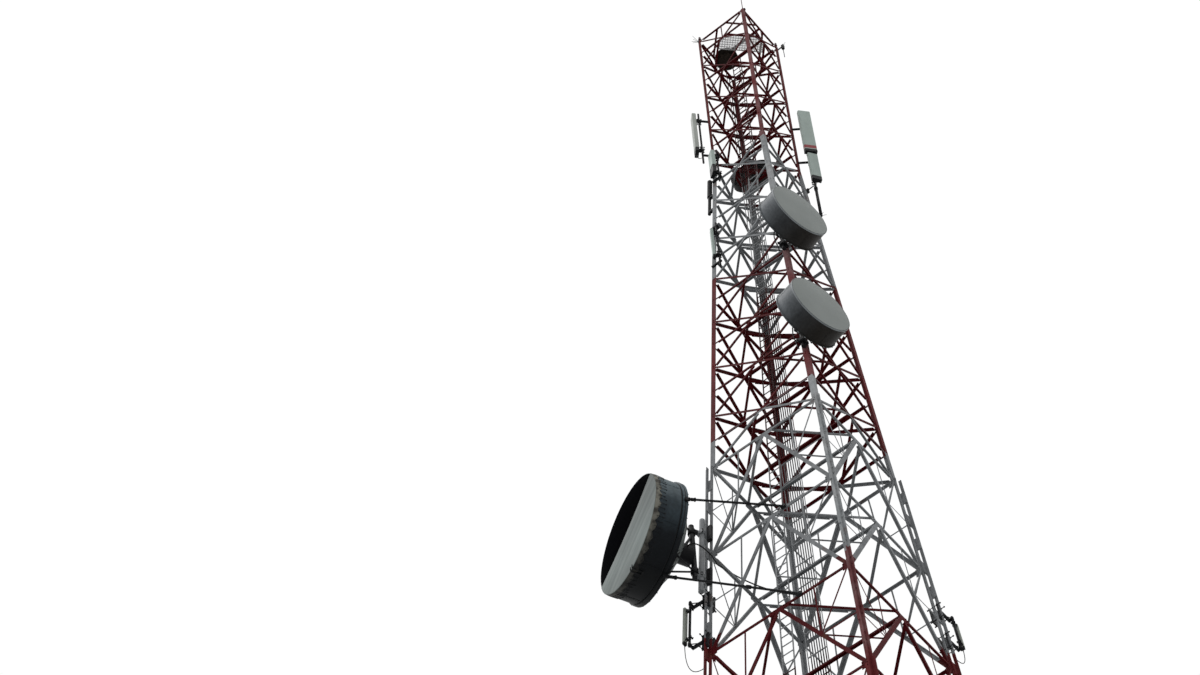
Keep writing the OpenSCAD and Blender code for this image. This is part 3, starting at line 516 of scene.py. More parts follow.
# heights at which the paint changes, and whether it is red from there up
# those below the photograph's edge are guessed
LOW_BAND = 3.5
BANDS = [(LOW_BAND * k, k % 2) for k in range(6)] + [(20.85, 0), (24.55, 1), (28.4, 0), (31.6, 1)]
BAND_SPAN = TOWER_H + 2
CHALK = (0.5, 0.46, 0.46)
RUST = (0.1, 0.045, 0.025)


def banded(name, red, white, fade=0.0, rust=0.5, rough=0.7):
    """Worn paint in bands; fade is how far chalky patches go toward a pale tone."""
    m, t = material(name)
    z = node(t, "ShaderNodeSeparateXYZ", [(0, object_point(t))]).outputs["Z"]
    share = math_node(t, "DIVIDE", z, BAND_SPAN)
    col = ramp(t, share, [(h / BAND_SPAN, red if c else white) for h, c in BANDS], "CONSTANT")
    chalk = ramp(t, noise(t, 2.2, 6.0), [(0.4, 0.0), (0.62, fade)])
    blotch = ramp(t, noise(t, 1.3), [(0.3, 0.72), (0.7, 1.0)])
    fine = ramp(t, noise(t, 14.0, 6.0), [(0.35, 0.8), (0.65, 1.06)])
    runs = ramp(t, noise(t, 9.0, 3.0, (1, 1, 0.06)), [(0.45, 1.0), (0.7, 0.82)])
    spots = ramp(t, noise(t, 5.0, 8.0), [(0.62, 0.0), (0.72, rust)])
    col = darkened(t, mix(t, chalk, col, CHALK), blotch, fine, runs)
    return finish(m, mix(t, spots, col, RUST), rough, 40.0, 0.25, 0.002, 0.08)


def plain(name, color, rough=0.5, scale=6.0, low=0.75, grain=0.0):
    """One tone with soft patches; grain darkens it in fine specks."""
    m, t = material(name)
    col = darkened(t, color, ramp(t, noise(t, scale, 6.0), [(0.3, low), (0.7, 1.05)]))
    if grain:
        col = darkened(t, col, ramp(t, noise(t, scale * 8, 3.0), [(0.35, 1 - grain), (0.65, 1.0)]))
    return finish(m, col, rough, 30.0, 0.2, 0.002)


def shaded_shell_of(name, m, radius, lean, tones, stops=(0.05, 0.3, 0.62, 0.96)):
    """Metal round a dish's axis: black inside the radius, and outside it in four tones of painted shade,
    from a lit side to a shaded one along the given direction, with weathered streaks and specks."""
    mat, t = material(name)
    turn = m.to_3x3()
    hole = math_node(t, "LESS_THAN", from_axis(t, m.translation, turn.col[2]), radius)
    _, side = along_axis(t, m.translation, turn @ Vector(lean).normalized())
    wobble = math_node(t, "ADD", math_node(t, "MULTIPLY", noise(t, 3.0), 0.35), 0.32)
    # painted shade: the share runs from the lit side of the shell to its shaded side
    share = math_node(t, "ADD", math_node(t, "MULTIPLY", side, 0.5 / radius), wobble)
    streak = ramp(t, noise(t, 7.0, 3.0, (1, 1, 0.15)), [(0.4, 1.0), (0.75, 0.7)])
    speck = ramp(t, noise(t, 30.0, 5.0), [(0.35, 0.82), (0.65, 1.05)])
    col = darkened(t, ramp(t, share, list(zip(stops, tones))), streak, speck)
    return finish(mat, mix(t, hole, col, BLACK), 0.55, 25.0, 0.2, 0.002, 0.15)


def two_tone(name, value_of, split, below, above):
    """Two tones on one node, parted where a value of its tree passes the split."""
    m, t = material(name)
    past = math_node(t, "GREATER_THAN", value_of(t), split)
    col = darkened(t, mix(t, past, below, above), ramp(t, noise(t, 8.0, 6.0), [(0.3, 0.7), (0.7, 1.05)]))
    return finish(m, col, 0.5, 30.0, 0.2, 0.002)


def capped(name, bottom, length, zones, up=(0, 0, 1)):
    """A panel's shell with coloured zones from its lower end up: (height, colour) pairs."""
    m, t = material(name)
    _, high = along_axis(t, bottom, up)
    share = math_node(t, "DIVIDE", high, length)
    col = ramp(t, share, [(z / length, c) for z, c in zones], "CONSTANT")
    dirt = ramp(t, noise(t, 5.0, 5.0, (1, 1, 0.3)), [(0.35, 0.8), (0.65, 1.03)])
    return finish(m, darkened(t, col, dirt), 0.55, 35.0, 0.15, 0.002)


BLACK = (0.006, 0.006, 0.008)
CAP = (0.01, 0.01, 0.011)
SHELL = (0.38, 0.45, 0.415)
LEFT_SHELL = (0.39, 0.41, 0.38)
LOW_SHELL = (0.36, 0.38, 0.34)
STRIPE = (0.3, 0.055, 0.06)
PALE_STEEL = (0.3, 0.31, 0.32)
DARK_STEEL = (0.012, 0.012, 0.014)
# painted shade on the big dish's shroud: tones from its lit top to its shaded underside, and where they
# change
DISH_SHADE_TONES = [(0.15, 0.19, 0.21), (0.04, 0.058, 0.07), (0.0075, 0.01, 0.013), (0.005, 0.006, 0.007)]
DISH_SHADE_STOPS = (0.04, 0.24, 0.48, 0.85)
# painted shade on the drums' shrouds: tones from their lit tops to their shaded undersides
DRUM_SHADE_TONES = [(0.3, 0.31, 0.32), (0.17, 0.185, 0.2), (0.045, 0.048, 0.052), (0.022, 0.019, 0.016)]
DARK = plain("dark_steel", DARK_STEEL, 0.6, 8.0, 0.6, 0.3)
CLIP_STEEL = plain("clip_steel", (0.24, 0.26, 0.27))
PLATFORM = plain("platform_steel", (0.42, 0.41, 0.41), 0.6, 10.0, 0.7)
# the near leg's paint: a lighter copy of the leg paint as painted light where the sun falls on it, with
# more chalky wear
LIT_NEAR_LEG = banded("near_leg_lit_paint", (0.17, 0.022, 0.025), (0.36, 0.38, 0.39), 0.22)
# the finish of each slot
MATS = {
    "leg_paint": banded("leg_paint", (0.13, 0.01, 0.012), (0.29, 0.3, 0.31), 0.05),
    "bracing_paint": banded("bracing_paint", (0.092, 0.005, 0.007), (0.27, 0.28, 0.29)),
    "galvanised": banded("galvanised", (0.055, 0.007, 0.008), (0.4, 0.41, 0.42), 0.0, 0.3, 0.5),
    "cable": plain("cable", (0.012, 0.012, 0.013)),
    "lamp": plain("lamp", (0.04, 0.008, 0.008), 0.3),
    "radome": plain("radome", (0.255, 0.275, 0.265), 0.6, 2.0, 0.9),
    "reflector": plain("reflector", (0.12, 0.135, 0.13)),
    "dark_steel": DARK,
    "panel_shell": plain("panel_shell", SHELL, 0.5, 4.0, 0.85),
    "twigs": plain("twigs", (0.03, 0.02, 0.014), 0.9, 20.0, 0.3, 0.4),
}
# the nodes with a finish of their own
FINISH = {
    "leg_front_right": LIT_NEAR_LEG,
    "top_platform": PLATFORM,
    # the feeder cables' red bands are near black: painted shade
    "feeder_cables": banded("feeder_jacket_shaded", (0.014, 0.007, 0.007), (0.18, 0.185, 0.19), 0.0, 0.2),
    "dish_shroud": shaded_shell_of("dish_metal_painted_shade", DISH, DISH_R - 0.004, (1, -1, 0), DISH_SHADE_TONES, DISH_SHADE_STOPS),
    # the far leg's dish is near black: painted shade on its back
    "rear_dish": plain("far_dish_painted_shade", (0.006, 0.006, 0.006), 0.7),
}
# each drum's shroud gets the painted shade of the tones above
for name, z in DRUMS.items():
    FINISH[name + "_shroud"] = shaded_shell_of(name + "_metal", drum_frame(z), 0.436, (1, 0.75, 0), DRUM_SHADE_TONES)


def off_dish_axis(t):
    return from_axis(t, DISH.translation, DISH_AXIS)


def off_leg(t):
    """How far a point of the dish's mount lies outside the leg, along the diagonal."""
    weights = (1, 1, -2 * math.tan(LEAN))
    sideways = vector_node(t, "DOT_PRODUCT", object_point(t), weights).outputs["Value"]
    return math_node(t, "SUBTRACT", sideways, MIDDLE.translation.x + MIDDLE.translation.y - BASE_W)


FINISH["dish_reflector"] = two_tone("dish_back", off_dish_axis, 0.135, BLACK, (0.1, 0.115, 0.11))
FINISH["dish_mount"] = two_tone("mount_steel", off_leg, -0.195, DARK_STEEL, PALE_STEEL)


def dress(name, look):
    for s in nodes[name].material_slots:
        s.material = look


for row in frame["record"]["subparts"]:
    dress(row["node"], FINISH.get(row["node"]) or MATS[row["material_slot"]])
for run in cable_runs:
    run.data.materials.append(MATS["cable"])


# heights of the bracing's nodes, and of the middles of the diamonds
X_NODES = [TOWER_H - TOP_PANEL_H - X_PANEL_H * k for k in range(11)]
X_MIDS = [TOWER_H - TOP_PANEL_H / 2] + [z - X_PANEL_H / 2 for z in X_NODES[:-1]]
LOW_BAYS = [1 + 0.1 * k for k in range(6)]
LOW_SHARES = [sum(LOW_BAYS[:k]) / sum(LOW_BAYS) for k in range(7)]
K_NODES = [X_LOW_Z - K_PANEL_H * k for k in range(3)]
K_NODES += [LOW_TOP_Z - (LOW_TOP_Z - FOOT_Z) * s for s in LOW_SHARES]
K_BOLT_R = 0.008


def bolt_line(z):
    """How far the bolts through the legs' flanges lie from a face's middle."""
    gauge = 0.0225 if z >= BEND_Z else 0.0325 if z >= X_LOW_Z else 0.029 if z >= LOW_TOP_Z else 0.038
    return half_w(z) - gauge


def bar_face(z):
    """The outer face of the bars behind the legs' flanges, from a face's own plane."""
    return -(0.005 if z >= BEND_Z else LEG_T) - SEAT


def joint_bolts():
    """Bolts where the bracing's bars meet the legs, the gussets and each other."""
    f = Form("joint_bolts", "bracing_paint", MATS["bracing_paint"])
    for i in range(4):
        for z in X_MIDS:
            m = face_frame(i, z)
            f.bolt(m, (0, 0, bar_face(z)))
            for s in (-1, 1):
                f.bolt(m, (s * bolt_line(z), 0, 0))
                f.bolt(m, (s * 0.04, 0, bar_face(z)))
        for z in X_NODES:
            for s in (-1, 1):
                for up in (-0.022, 0.022):
                    f.bolt(face_frame(i, z), (s * bolt_line(z), up, 0))
        for z in K_NODES[1:]:
            m = face_frame(i, z)
            for s in (-1, 1):
                for up in (-0.044, 0.0, 0.044):
                    f.bolt(m, (s * bolt_line(z), up, 0), r=K_BOLT_R)
                    f.bolt(m, (s * (bolt_line(z) - 0.06), up, -LEG_T - SEAT), r=K_BOLT_R)
            for x in (-0.1, -0.062, 0.062, 0.1) if z > FOOT_Z else ():
                for up in (-0.04, 0.008):
                    f.bolt(m, (x, up, -LEG_T - SEAT), r=K_BOLT_R)
    f.done()


BATTEN_H = 0.2
BATTEN_PITCH = 0.44
BASE_PLATE_T = 0.016


def batten_bolts():
    """Bolts through the doubled legs' battens, with every other batten turned."""
    f = Form("batten_bolts", "leg_paint", MATS["leg_paint"])
    for low, high, b in ((BASE_PLATE_T, LOW_TOP_Z, 0.06), (LOW_TOP_Z, X_LOW_Z, 0.038)):
        count = math.floor((high - low - BATTEN_H) / BATTEN_PITCH)
        first = low + (high - low - (count - 1) * BATTEN_PITCH) / 2
        for i in range(4):
            for k in range(count):
                m = on_leg(i, first + k * BATTEN_PITCH)
                for up in (-0.06, 0.06):
                    outer, inner = (-LEG_GAP - b / 2, LEG_BACK, up), (b / 2, LEG_T, up)
                    ways = ((0, -1, 0), (0, 1, 0))
                    if k % 2:
                        outer, inner = ((q[1], q[0], up) for q in (outer, inner))
                        ways = ((-1, 0, 0), (1, 0, 0))
                    f.bolt(m, outer, ways[0])
                    f.bolt(m, inner, ways[1])
    f.done()


def anchor_rods():
    """Rods that stand through the base plates, each with a washer and a nut."""
    f = Form("anchor_rods", "galvanised", MATS["galvanised"])
    for i in range(4):
        m = round_tower(i) @ at((BASE_W / 2, -BASE_W / 2, BASE_PLATE_T + 0.0001))
        for x in (-0.11, 0.11):
            for y in (-0.11, 0.11):
                f.rod(m, (x, y, 0), (x, y, 0.003), 0.017, 16)
                f.rod(m, (x, y, 0.003), (x, y, 0.016), 0.014, 6)
                f.rod(m, (x, y, -0.016), (x, y, 0.034), 0.0075, 10)
    f.done()


joint_bolts()
batten_bolts()
anchor_rods()


# the big dish
def seam(form, m, half, span, stand, rivets, look=0):
    """A strip up a shroud's side with rivets: half its width, its span in z and how far it stands out."""
    form.box(m, (0.0002, -half, span[0]), (stand, half, span[1]), look)
    for y, z in rivets:
        form.bolt(m, (stand, y, z), (1, 0, 0), 0.0035, 0.002, look)


def dish_trim():
    """The shroud's bands, seams and bolts, the ribs on its back, and the hooked bar over its rim."""
    f = Form("dish_trim", "drum_metal", FINISH["dish_shroud"], DARK, MATS["reflector"])
    for r, stand, z, high in ((0.7031, 0.0021, -0.318, 0.014), (0.7191, 0.0014, -0.352, 0.01)):
        band = [(r, z), (r + stand, z + 0.002), (r + stand, z + high - 0.002), (r, z + high)]
        f.lathe(DISH, band, 120, 1)
    rivets = [(y, -0.092 - 0.028 * j) for j in range(8) for y in (-0.011, 0.011)]
    for k in range(8):
        seam(f, spoke(DISH, 45 * k + 12, DISH_R), 0.018, (-0.3, -0.078), 0.0026, rivets)
    for k in range(24):
        f.bolt(spoke(DISH, 15 * k + 5, 0.711), (0, 0, -0.38), (0, 0, -1), 0.007, 0.006, 1)
        f.bolt(spoke(DISH, 15 * k, 0.719), (0, 0, -0.33), (1, 0, 0), 0.0045, 0.003, 1)
    rib = ((0.135, -0.604), (0.42, -0.508), (0.68, -0.366))
    for k in range(12):
        for a, b in zip(rib, rib[1:]):
            f.rod(DISH, round_dish(30 * k + 15, *a), round_dish(30 * k + 15, *b), 0.007, 6, 2)
    hook = spoke(DISH, 4, DISH_R)
    bent = ((-0.06, 0.004), (-0.012, 0.008), (0.003, 0.004), (0.012, -0.01), (0.013, -0.06),
            (0.009, -0.12))
    for y in (-0.02, 0.02):
        f.path(hook, [(x, y, z) for x, z in bent], 0.006, 8, 1)
    f.box(hook, (0.002, -0.03, -0.13), (0.012, 0.03, -0.116), 1)
    f.done()


dish_trim()

# what is left of the cover: where its torn edge meets the rim, as points and as the rim's angles
TEAR_START = Vector((0.15, -0.6876, 0))
TEAR_END = Vector((-0.3874, 0.5874, 0))
COVER_FROM, COVER_TO = (math.degrees(math.atan2(end.y, end.x)) for end in (TEAR_START, TEAR_END))
COVER_R = 0.7045
COVER_T = 0.0014
COLS, ROWS = 120, 26
HEM_COLS = 240
TIES = 44
# directions in the dish's frame: over the creases, from the tear to the rim, and toward the hem's dirty and
# shaded end
OVER_CREASES = Vector((0.93, 0.36, 0))
FROM_TEAR = Vector((1, -0.2, 0))
TOWARD_DIRT_AND_SHADE = Vector((0.7, -0.7, 0))
rng = random.Random(7)
tear_noise = [rng.uniform(-1, 1) for _ in range(COLS + 1)]


def on_rim(u):
    """The rim's angle at a share of the cover's length."""
    return COVER_FROM + (COVER_TO - COVER_FROM) * u


def sheet_point(j, k):
    """A point of the cover, column j along the tear and row k from the tear to the rim."""
    u, v = j / COLS, k / ROWS
    ends = math.sin(math.pi * u)
    tear = TEAR_START.lerp(TEAR_END, u)
    ragged = (0.0008 * tear_noise[j] + 0.001 * math.sin(11 * u + 1)) * ends
    tear += Vector((1, 0.42, 0)) * ragged
    p = tear.lerp(round_dish(on_rim(u), COVER_R), v)
    across = p.dot(OVER_CREASES)
    crease = 0.003 * math.sin(across * 27 + 1.2 * math.sin(p.y * 3))
    fine_crease = 0.0012 * math.sin(across * 77 + p.y * 6)
    slack = math.sin(math.pi * v) * ends * (0.01 + crease + fine_crease)
    curl = -0.016 * math.exp(-v * 22) * ends
    p.z = 0.0015 + slack + curl
    return p


def cover_cloth():
    """Weathered sheet with faint streaks along its creases."""
    m, t = material("cover_cloth")
    turn = DISH.to_3x3()
    _, across = along_axis(t, DISH.translation, turn @ OVER_CREASES)
    _, low = along_axis(t, DISH.translation, turn @ FROM_TEAR)
    folds = node(t, "ShaderNodeTexNoise", [("Vector", across), ("Scale", 7.0), ("Detail", 3.0)]).outputs[0]
    col = ramp(t, folds, [(0.3, (0.115, 0.142, 0.137)), (0.5, (0.155, 0.184, 0.176)),
                          (0.7, (0.205, 0.23, 0.218))])
    blotch = ramp(t, noise(t, 3.0, 6.0), [(0.3, 0.82), (0.7, 1.04)])
    shade = ramp(t, math_node(t, "ADD", low, 0.4), [(0.0, 0.58), (0.45, 0.84), (0.75, 1.08), (1.0, 0.92)])
    return finish(m, darkened(t, col, blotch, shade), 0.75, 120.0, 0.3, 0.001, 0.5, 2.0)


def cover_hem():
    """The hem's cloth: beige patches that get darker toward the lower rim, with dirt and painted shade."""
    m, t = material("cover_hem")
    patch = ramp(t, noise(t, 9.0, 5.0), [(0.42, 0.0), (0.58, 1.0)])
    # dirt and painted shade: the hem gets darker toward the lower rim
    _, low = along_axis(t, DISH.translation, DISH.to_3x3() @ TOWARD_DIRT_AND_SHADE)
    dirt = ramp(t, math_node(t, "ADD", low, 0.5), [(0.1, 0.85), (0.9, 0.16)])
    col = darkened(t, mix(t, patch, (0.05, 0.045, 0.035), (0.25, 0.24, 0.2)), dirt)
    return finish(m, col, 0.8, 60.0, 0.4, 0.003, 0.5)


def torn_cover():
    """The cover's thin sheet: its front, its back, and the edges between them."""
    f = Form("dish_cover_torn", "radome", cover_cloth())
    front = [sheet_point(j, k) for j in range(COLS + 1) for k in range(ROWS + 1)]
    back = [q - Z_AXIS * COVER_T for q in front]
    row, n = ROWS + 1, len(front)
    faces = []
    for j in range(COLS):
        a, b = j * row, (j + 1) * row
        for k in range(ROWS):
            quad = (a + k, b + k, b + k + 1, a + k + 1)
            faces += [quad, tuple(n + q for q in reversed(quad))]
        faces += [(a, n + a, n + b, b), (a + ROWS, b + ROWS, n + b + ROWS, n + a + ROWS)]
    last = COLS * row
    for k in range(ROWS):
        faces += [(k, k + 1, n + k + 1, n + k), (last + k, n + last + k, n + last + k + 1, last + k + 1)]
    f.add(DISH, front + back, faces, 0, True)
    return f.done("dish_cover")


def hem_section(a, loose):
    """The hem's closed section at an angle; loose is a share of how uneven its lower edge is."""
    t = math.radians(a)
    end = -0.034 - 0.03 * abs(math.sin(t * 17)) - 0.008 * loose
    wave = 0.0016 * math.sin(t * 68) + 0.0012 * math.sin(t * 31)
    section = [(0.7036, 0.0002), (0.7046, 0.0028), (0.7056, -0.002), (0.7075 + wave, 0.5 * end),
               (0.7068 + 1.6 * wave, end), (0.705 + 1.6 * wave, end + 0.0005), (0.705, 0.5 * end)]
    return [round_dish(a, max(r, DISH_R + 0.0004), z) for r, z in section]


def torn_hem():
    """The hem that wraps the cover's edge round the shroud."""
    f = Form("dish_cover_hem", "radome", cover_hem())
    loose = [rng.uniform(0, 1) for _ in range(HEM_COLS + 1)]
    sections = [hem_section(on_rim(j / HEM_COLS), loose[j]) for j in range(HEM_COLS + 1)]
    n = len(sections[0])
    faces = []
    for j in range(HEM_COLS):
        faces += ring_faces(j * n, (j + 1) * n, n)
    faces += [tuple(range(n)), tuple(range(HEM_COLS * n, HEM_COLS * n + n))[::-1]]
    f.add(DISH, [q for section in sections for q in section], faces, 0, True)
    return f.done()


def cover_ties():
    """Lashings that pull the hem back, each a short cord and its hook."""
    f = Form("cover_ties", "dark_steel", DARK)
    for k in range(TIES):
        m = spoke(DISH, on_rim((k + 0.5) / TIES) + rng.uniform(-0.6, 0.6), DISH_R)
        far = -0.1 - 0.03 * rng.random()
        hook_y = rng.uniform(-0.006, 0.006)
        f.path(m, [(0.0055, 0, -0.04), (0.0058, 0.001, -0.07), (0.004, hook_y, far)], 0.0022, 6)
        f.box(m, (0.0004, -0.006, far - 0.01), (0.0052, 0.006, far + 0.002))
    f.done()


cloth = torn_cover()
hem_piece = torn_hem()
cover_ties()


# the big dish's mount
MOUNT_RISE = 0.4
# where each strut meets the face, and the rim's angle of its other end
STRUTS = [(tower(0.185, -half_w(K_NODES[1]) - 0.017, K_NODES[1]), 84),
          (tower(0.275, -half_w(K_NODES[2]) - 0.017, K_NODES[2]), 10)]
# the thicker lengths of a strut, as shares of it from the rim, and their radii
TURNBUCKLE = ((0.02, 0.035, 0.022), (0.045, 0.075, 0.019), (0.08, 0.09, 0.024), (0.62, 0.65, 0.022))


def dish_rig():
    """Clamps on the mount's tube and on the leg, the A-frame, and the struts' turnbuckles."""
    f = Form("dish_rig", "dark_steel", DARK, plain("pale_steel", PALE_STEEL))
    low = tower(DISH_TUBE.x, DISH_TUBE.y, DISH_MID - 0.36)
    high = tower(DISH_TUBE.x, DISH_TUBE.y, DISH_MID + 0.36)
    for end in (low, high):
        f.rod(FREE, end - Z_AXIS * 0.045, end + Z_AXIS * 0.045, 0.044, 24)
        for x in (-0.046, 0.046):
            f.bolt(FREE, end + Vector((x, 0, 0)), Z_AXIS, 0.01, 0.012)
    ring = DISH @ Matrix.Translation((0, 0, -0.386))
    feet = [ring @ round_dish(14, 0.69), ring @ round_dish(30, 0.6, -0.034)]
    for foot in feet:
        f.rod(FREE, high - Z_AXIS * 0.06, foot, 0.013, 10)
        f.rod(FREE, low, foot, 0.011, 10)
        f.rod(FREE, foot + Z_AXIS * 0.02, foot - Z_AXIS * 0.02, 0.02, 12)
    f.rod(FREE, high, ring @ round_dish(170, 0.66), 0.012, 10)
    f.rod(FREE, feet[0], feet[1], 0.009)
    f.rod(FREE, high.lerp(feet[0], 0.48), high.lerp(feet[1], 0.48), 0.009)
    for far, a in STRUTS:
        near = DISH @ round_dish(a, 0.7345, -0.35)
        for start, end, r in TURNBUCKLE:
            f.rod(FREE, near.lerp(far, start), near.lerp(far, end), r, 12)
    for rise in (-MOUNT_RISE, MOUNT_RISE):
        m = on_leg(3, DISH_MID + rise)
        for up in (-0.022, 0.022):
            for x in (-0.1, -0.02):
                nuts = [(-0.002, 0.01), (0.164, 0.176)]
                f.stud(m, (x, -0.11, up), (x, 0.075, up), 0.0045, nuts, 0.009, 8, 1)
        f.box(m, (-0.112, 0.046, -0.03), (-0.01, 0.056, 0.03))
        # the black channel of each clamp, upright on the leg's front
        f.box(m, (-LEG_GAP + SEAT, -0.04, -0.13), (0.046, -SEAT, 0.13))
    f.done()


dish_rig()


# the drums
DRUM_R = 0.44
DRUM_RING_R = 0.452
DRUM_CLAMP_RISE = 0.342


def drum_trim(name, z):
    """The lip of the rim, the clips round the back, the shroud's seams and the back's ribs."""
    m = drum_frame(z)
    f = Form(name + "_trim", "drum_metal", CLIP_STEEL, DARK, FINISH[name + "_shroud"])
    f.lathe(m, [(0.4402, -0.02), (0.4402, -0.001), (0.4425, 0.0), (0.4435, -0.003), (0.443, -0.02)])
    for k in range(28):
        part = spoke(m, 360 / 28 * k + 4, DRUM_RING_R)
        f.box(part, (0.0002, -0.011, -0.2895), (0.004, 0.011, -0.2785))
        f.bolt(part, (0.004, 0, -0.284), (1, 0, 0), 0.0045, 0.003)
    for k in range(6):
        rivets = [(0, -0.05 - 0.048 * j) for j in range(5)]
        seam(f, spoke(m, 60 * k + 20, DRUM_R), 0.012, (-0.276, -0.024), 0.0022, rivets, 2)
    for k in range(12):
        f.rod(spoke(m, 30 * k + 10, 0.0), (0.132, 0, -0.341), (0.425, 0, -0.2935), 0.0045, 6, 2)
    f.done()


def hub_hardware(f, hub):
    """Clamps round the pipe at the hub, the elevation screw, and the feed's tail with its bend."""
    for s in (-1, 1):
        for side in (-0.045, 0.045):
            x = s * 0.07
            f.stud(hub, (x, side, -0.044), (x, side, 0.036), 0.006, [(0.062, 0.071)], 0.012, 8, 1)
        f.box(hub, (s * 0.07 - 0.018, -0.066, -0.06), (s * 0.07 + 0.018, 0.066, -0.0395))
        f.rod(hub, (s * 0.155 - 0.02, 0, 0), (s * 0.155 + 0.02, 0, 0), 0.039, 20)
        f.rod(hub, (s * 0.155, -0.062, 0), (s * 0.155, 0.062, 0), 0.01)
        f.rod(hub, (s * 0.155, 0.055 * s, 0), (s * 0.12, 0.085 * s, 0.052), 0.008)
    f.rod(hub, (0.3, 0.0, 0.0), (0.13, 0.05, 0.11), 0.01, 10)
    f.rod(hub, (0.28, 0, 0), (0.32, 0, 0), 0.038, 20)
    f.rod(hub, (0.25, 0.012, 0.03), (0.222, 0.021, 0.05), 0.018, 10)
    tail = [(0.03, -0.085, 0.045), (0.05, -0.1, 0.005), (0.105, -0.112, -0.03), (0.19, -0.1, -0.05),
            (0.3, -0.07, -0.06), (0.42, -0.052, -0.05), (0.5, -0.048, -0.04)]
    f.path(hub, tail, 0.008, 8)
    f.rod(hub, (0.012, -0.085, 0.049), (0.04, -0.085, 0.04), 0.014, 10)


def drum_gear(name, z):
    """The dark steel between a drum and the leg."""
    f = Form(name + "_gear", "dark_steel", DARK, CLIP_STEEL)
    hub_hardware(f, drum_frame(z) @ Matrix.Translation((0, 0, -0.388)))
    for rise in (-DRUM_CLAMP_RISE, DRUM_CLAMP_RISE):
        clamp = at(drum_pipe(z + rise))
        for x in (-0.052, 0.052):
            nuts = [(0.01, 0.0215), (0.152, 0.162)]
            f.stud(clamp, (x, -0.066, 0), (x, 0.1, 0), 0.006, nuts, 0.012, 8, 1)
        f.box(clamp, (-0.07, -0.044, -0.026), (0.07, -0.0432, 0.026))
    f.done()


for name, z in DRUMS.items():
    drum_trim(name, z)
    drum_gear(name, z)


# the panel antennas
def pole_clamp(f, m, w=0.034):
    """Two plates and two bolts round a pole that runs up z; w is half the plates' width."""
    for s in (-1, 1):
        y = s * (POLE_R + 0.009)
        f.box(m, (-w, y - 0.004, -0.012), (w, y + 0.004, 0.012))
        x, reach = s * (w - 0.008), POLE_R + 0.026
        nuts = [(0.006, 0.013), (2 * reach - 0.013, 2 * reach - 0.006)]
        f.stud(m, (x, -reach, 0), (x, reach, 0), 0.0035, nuts, 0.007, 6)


def plug(f, m, x, y, z, r=0.009):
    """A cable socket under an antenna: collar and tail."""
    f.rod(m, (x, y, z), (x, y, z - 0.014), r, 12)
    f.rod(m, (x, y, z - 0.014), (x, y, z - 0.034), r * 0.72, 12)


# where a panel's back lies, from its pole's middle
PANEL_BACK = -0.0495
# each panel: its pole, drop of its middle, length, direction, width, depth, and the zones of its shell
PANELS = {
    "panel_wide": (RIGHT_POLE, 3.19, 1.29, 318, 0.19, 0.072,
                   [(0.0, CAP), (0.06, SHELL), (0.085, STRIPE), (0.175, SHELL)]),
    "panel_right": (RIGHT_POLE, 4.285, 0.78, 325, 0.15, 0.062, [(0.0, CAP), (0.09, SHELL)]),
    "panel_left": (LEFT_POLE, 3.28, 1.18, 225, 0.14, 0.062, [(0.0, CAP), (0.09, LEFT_SHELL)]),
    "panel_left_lower": (SECOND_POLE, 4.42, 0.64, 235, 0.14, 0.062, [(0.0, CAP), (0.2, SHELL)]),
    "panel_slim": (SLIM_POLE, SLIM_DROP, 0.73, 225, 0.07, 0.04, [(0.0, CAP), (0.03, SHELL)]),
}


def panel_fittings(f, name):
    """Dresses a panel's shell, and adds its clamps, brackets, sockets and the raised part of its top."""
    pole, drop, length, turn, width, deep, zones = PANELS[name]
    z = TOWER_H - drop
    dress(name, capped(name + "_shell", tower(pole.x, pole.y, z - length / 2), length, zones))
    m = toward((pole.x, pole.y, z), turn)
    for clamp_z in (-length * 0.38, length * 0.38):
        for off in (-0.03, 0.03):
            pole_clamp(f, m @ Matrix.Translation((0, 0, clamp_z + off)))
        f.box(m, (-0.028, PANEL_BACK + SEAT, clamp_z - 0.055), (0.028, PANEL_BACK + 0.006, clamp_z + 0.055))
        for x in (-0.018, 0.018):
            for up in (-0.045, 0.045):
                f.bolt(m, (x, PANEL_BACK + 0.006, clamp_z + up), (0, 1, 0), 0.0055, 0.004)
    for x in (-width * 0.28, width * 0.28):
        plug(f, m, x, PANEL_BACK - deep / 2, -length / 2)
    edge, top = width / 2 - 0.022, length / 2
    f.box(m, (-edge, PANEL_BACK - deep + 0.01, top + 0.0002), (edge, PANEL_BACK - 0.01, top + 0.004), 1)


hardware = Form("panel_hardware", "dark_steel", DARK, MATS["panel_shell"])
for name in PANELS:
    panel_fittings(hardware, name)
hardware.done()


# the two small antennas beside the doubled legs
def low_arm(f, m, pole, z):
    """Two flat bars from the leg to the pole with a pivot at each end, and a brace across them."""
    px, py = pole.x, pole.y
    for off in (-0.012, 0.012):
        low, high = z + off - 0.0025, z + off + 0.0025
        f.box(m, (px - 0.013, py - 0.012, low), (LEG_BACK - SEAT, py + 0.012, high))
        f.box(m, (LEG_BACK - 0.0303, py, low), (LEG_BACK - SEAT, -0.03, high))
    f.rod(m, (px, py, z - 0.02), (px, py, z + 0.02), 0.0195, 16)
    f.rod(m, (LEG_BACK - 0.015, py, z - 0.02), (LEG_BACK - 0.015, py, z + 0.02), 0.009, 16)
    f.rod(m, (px, py + 0.005, z), (LEG_BACK - 0.012, -0.07, z), 0.006)


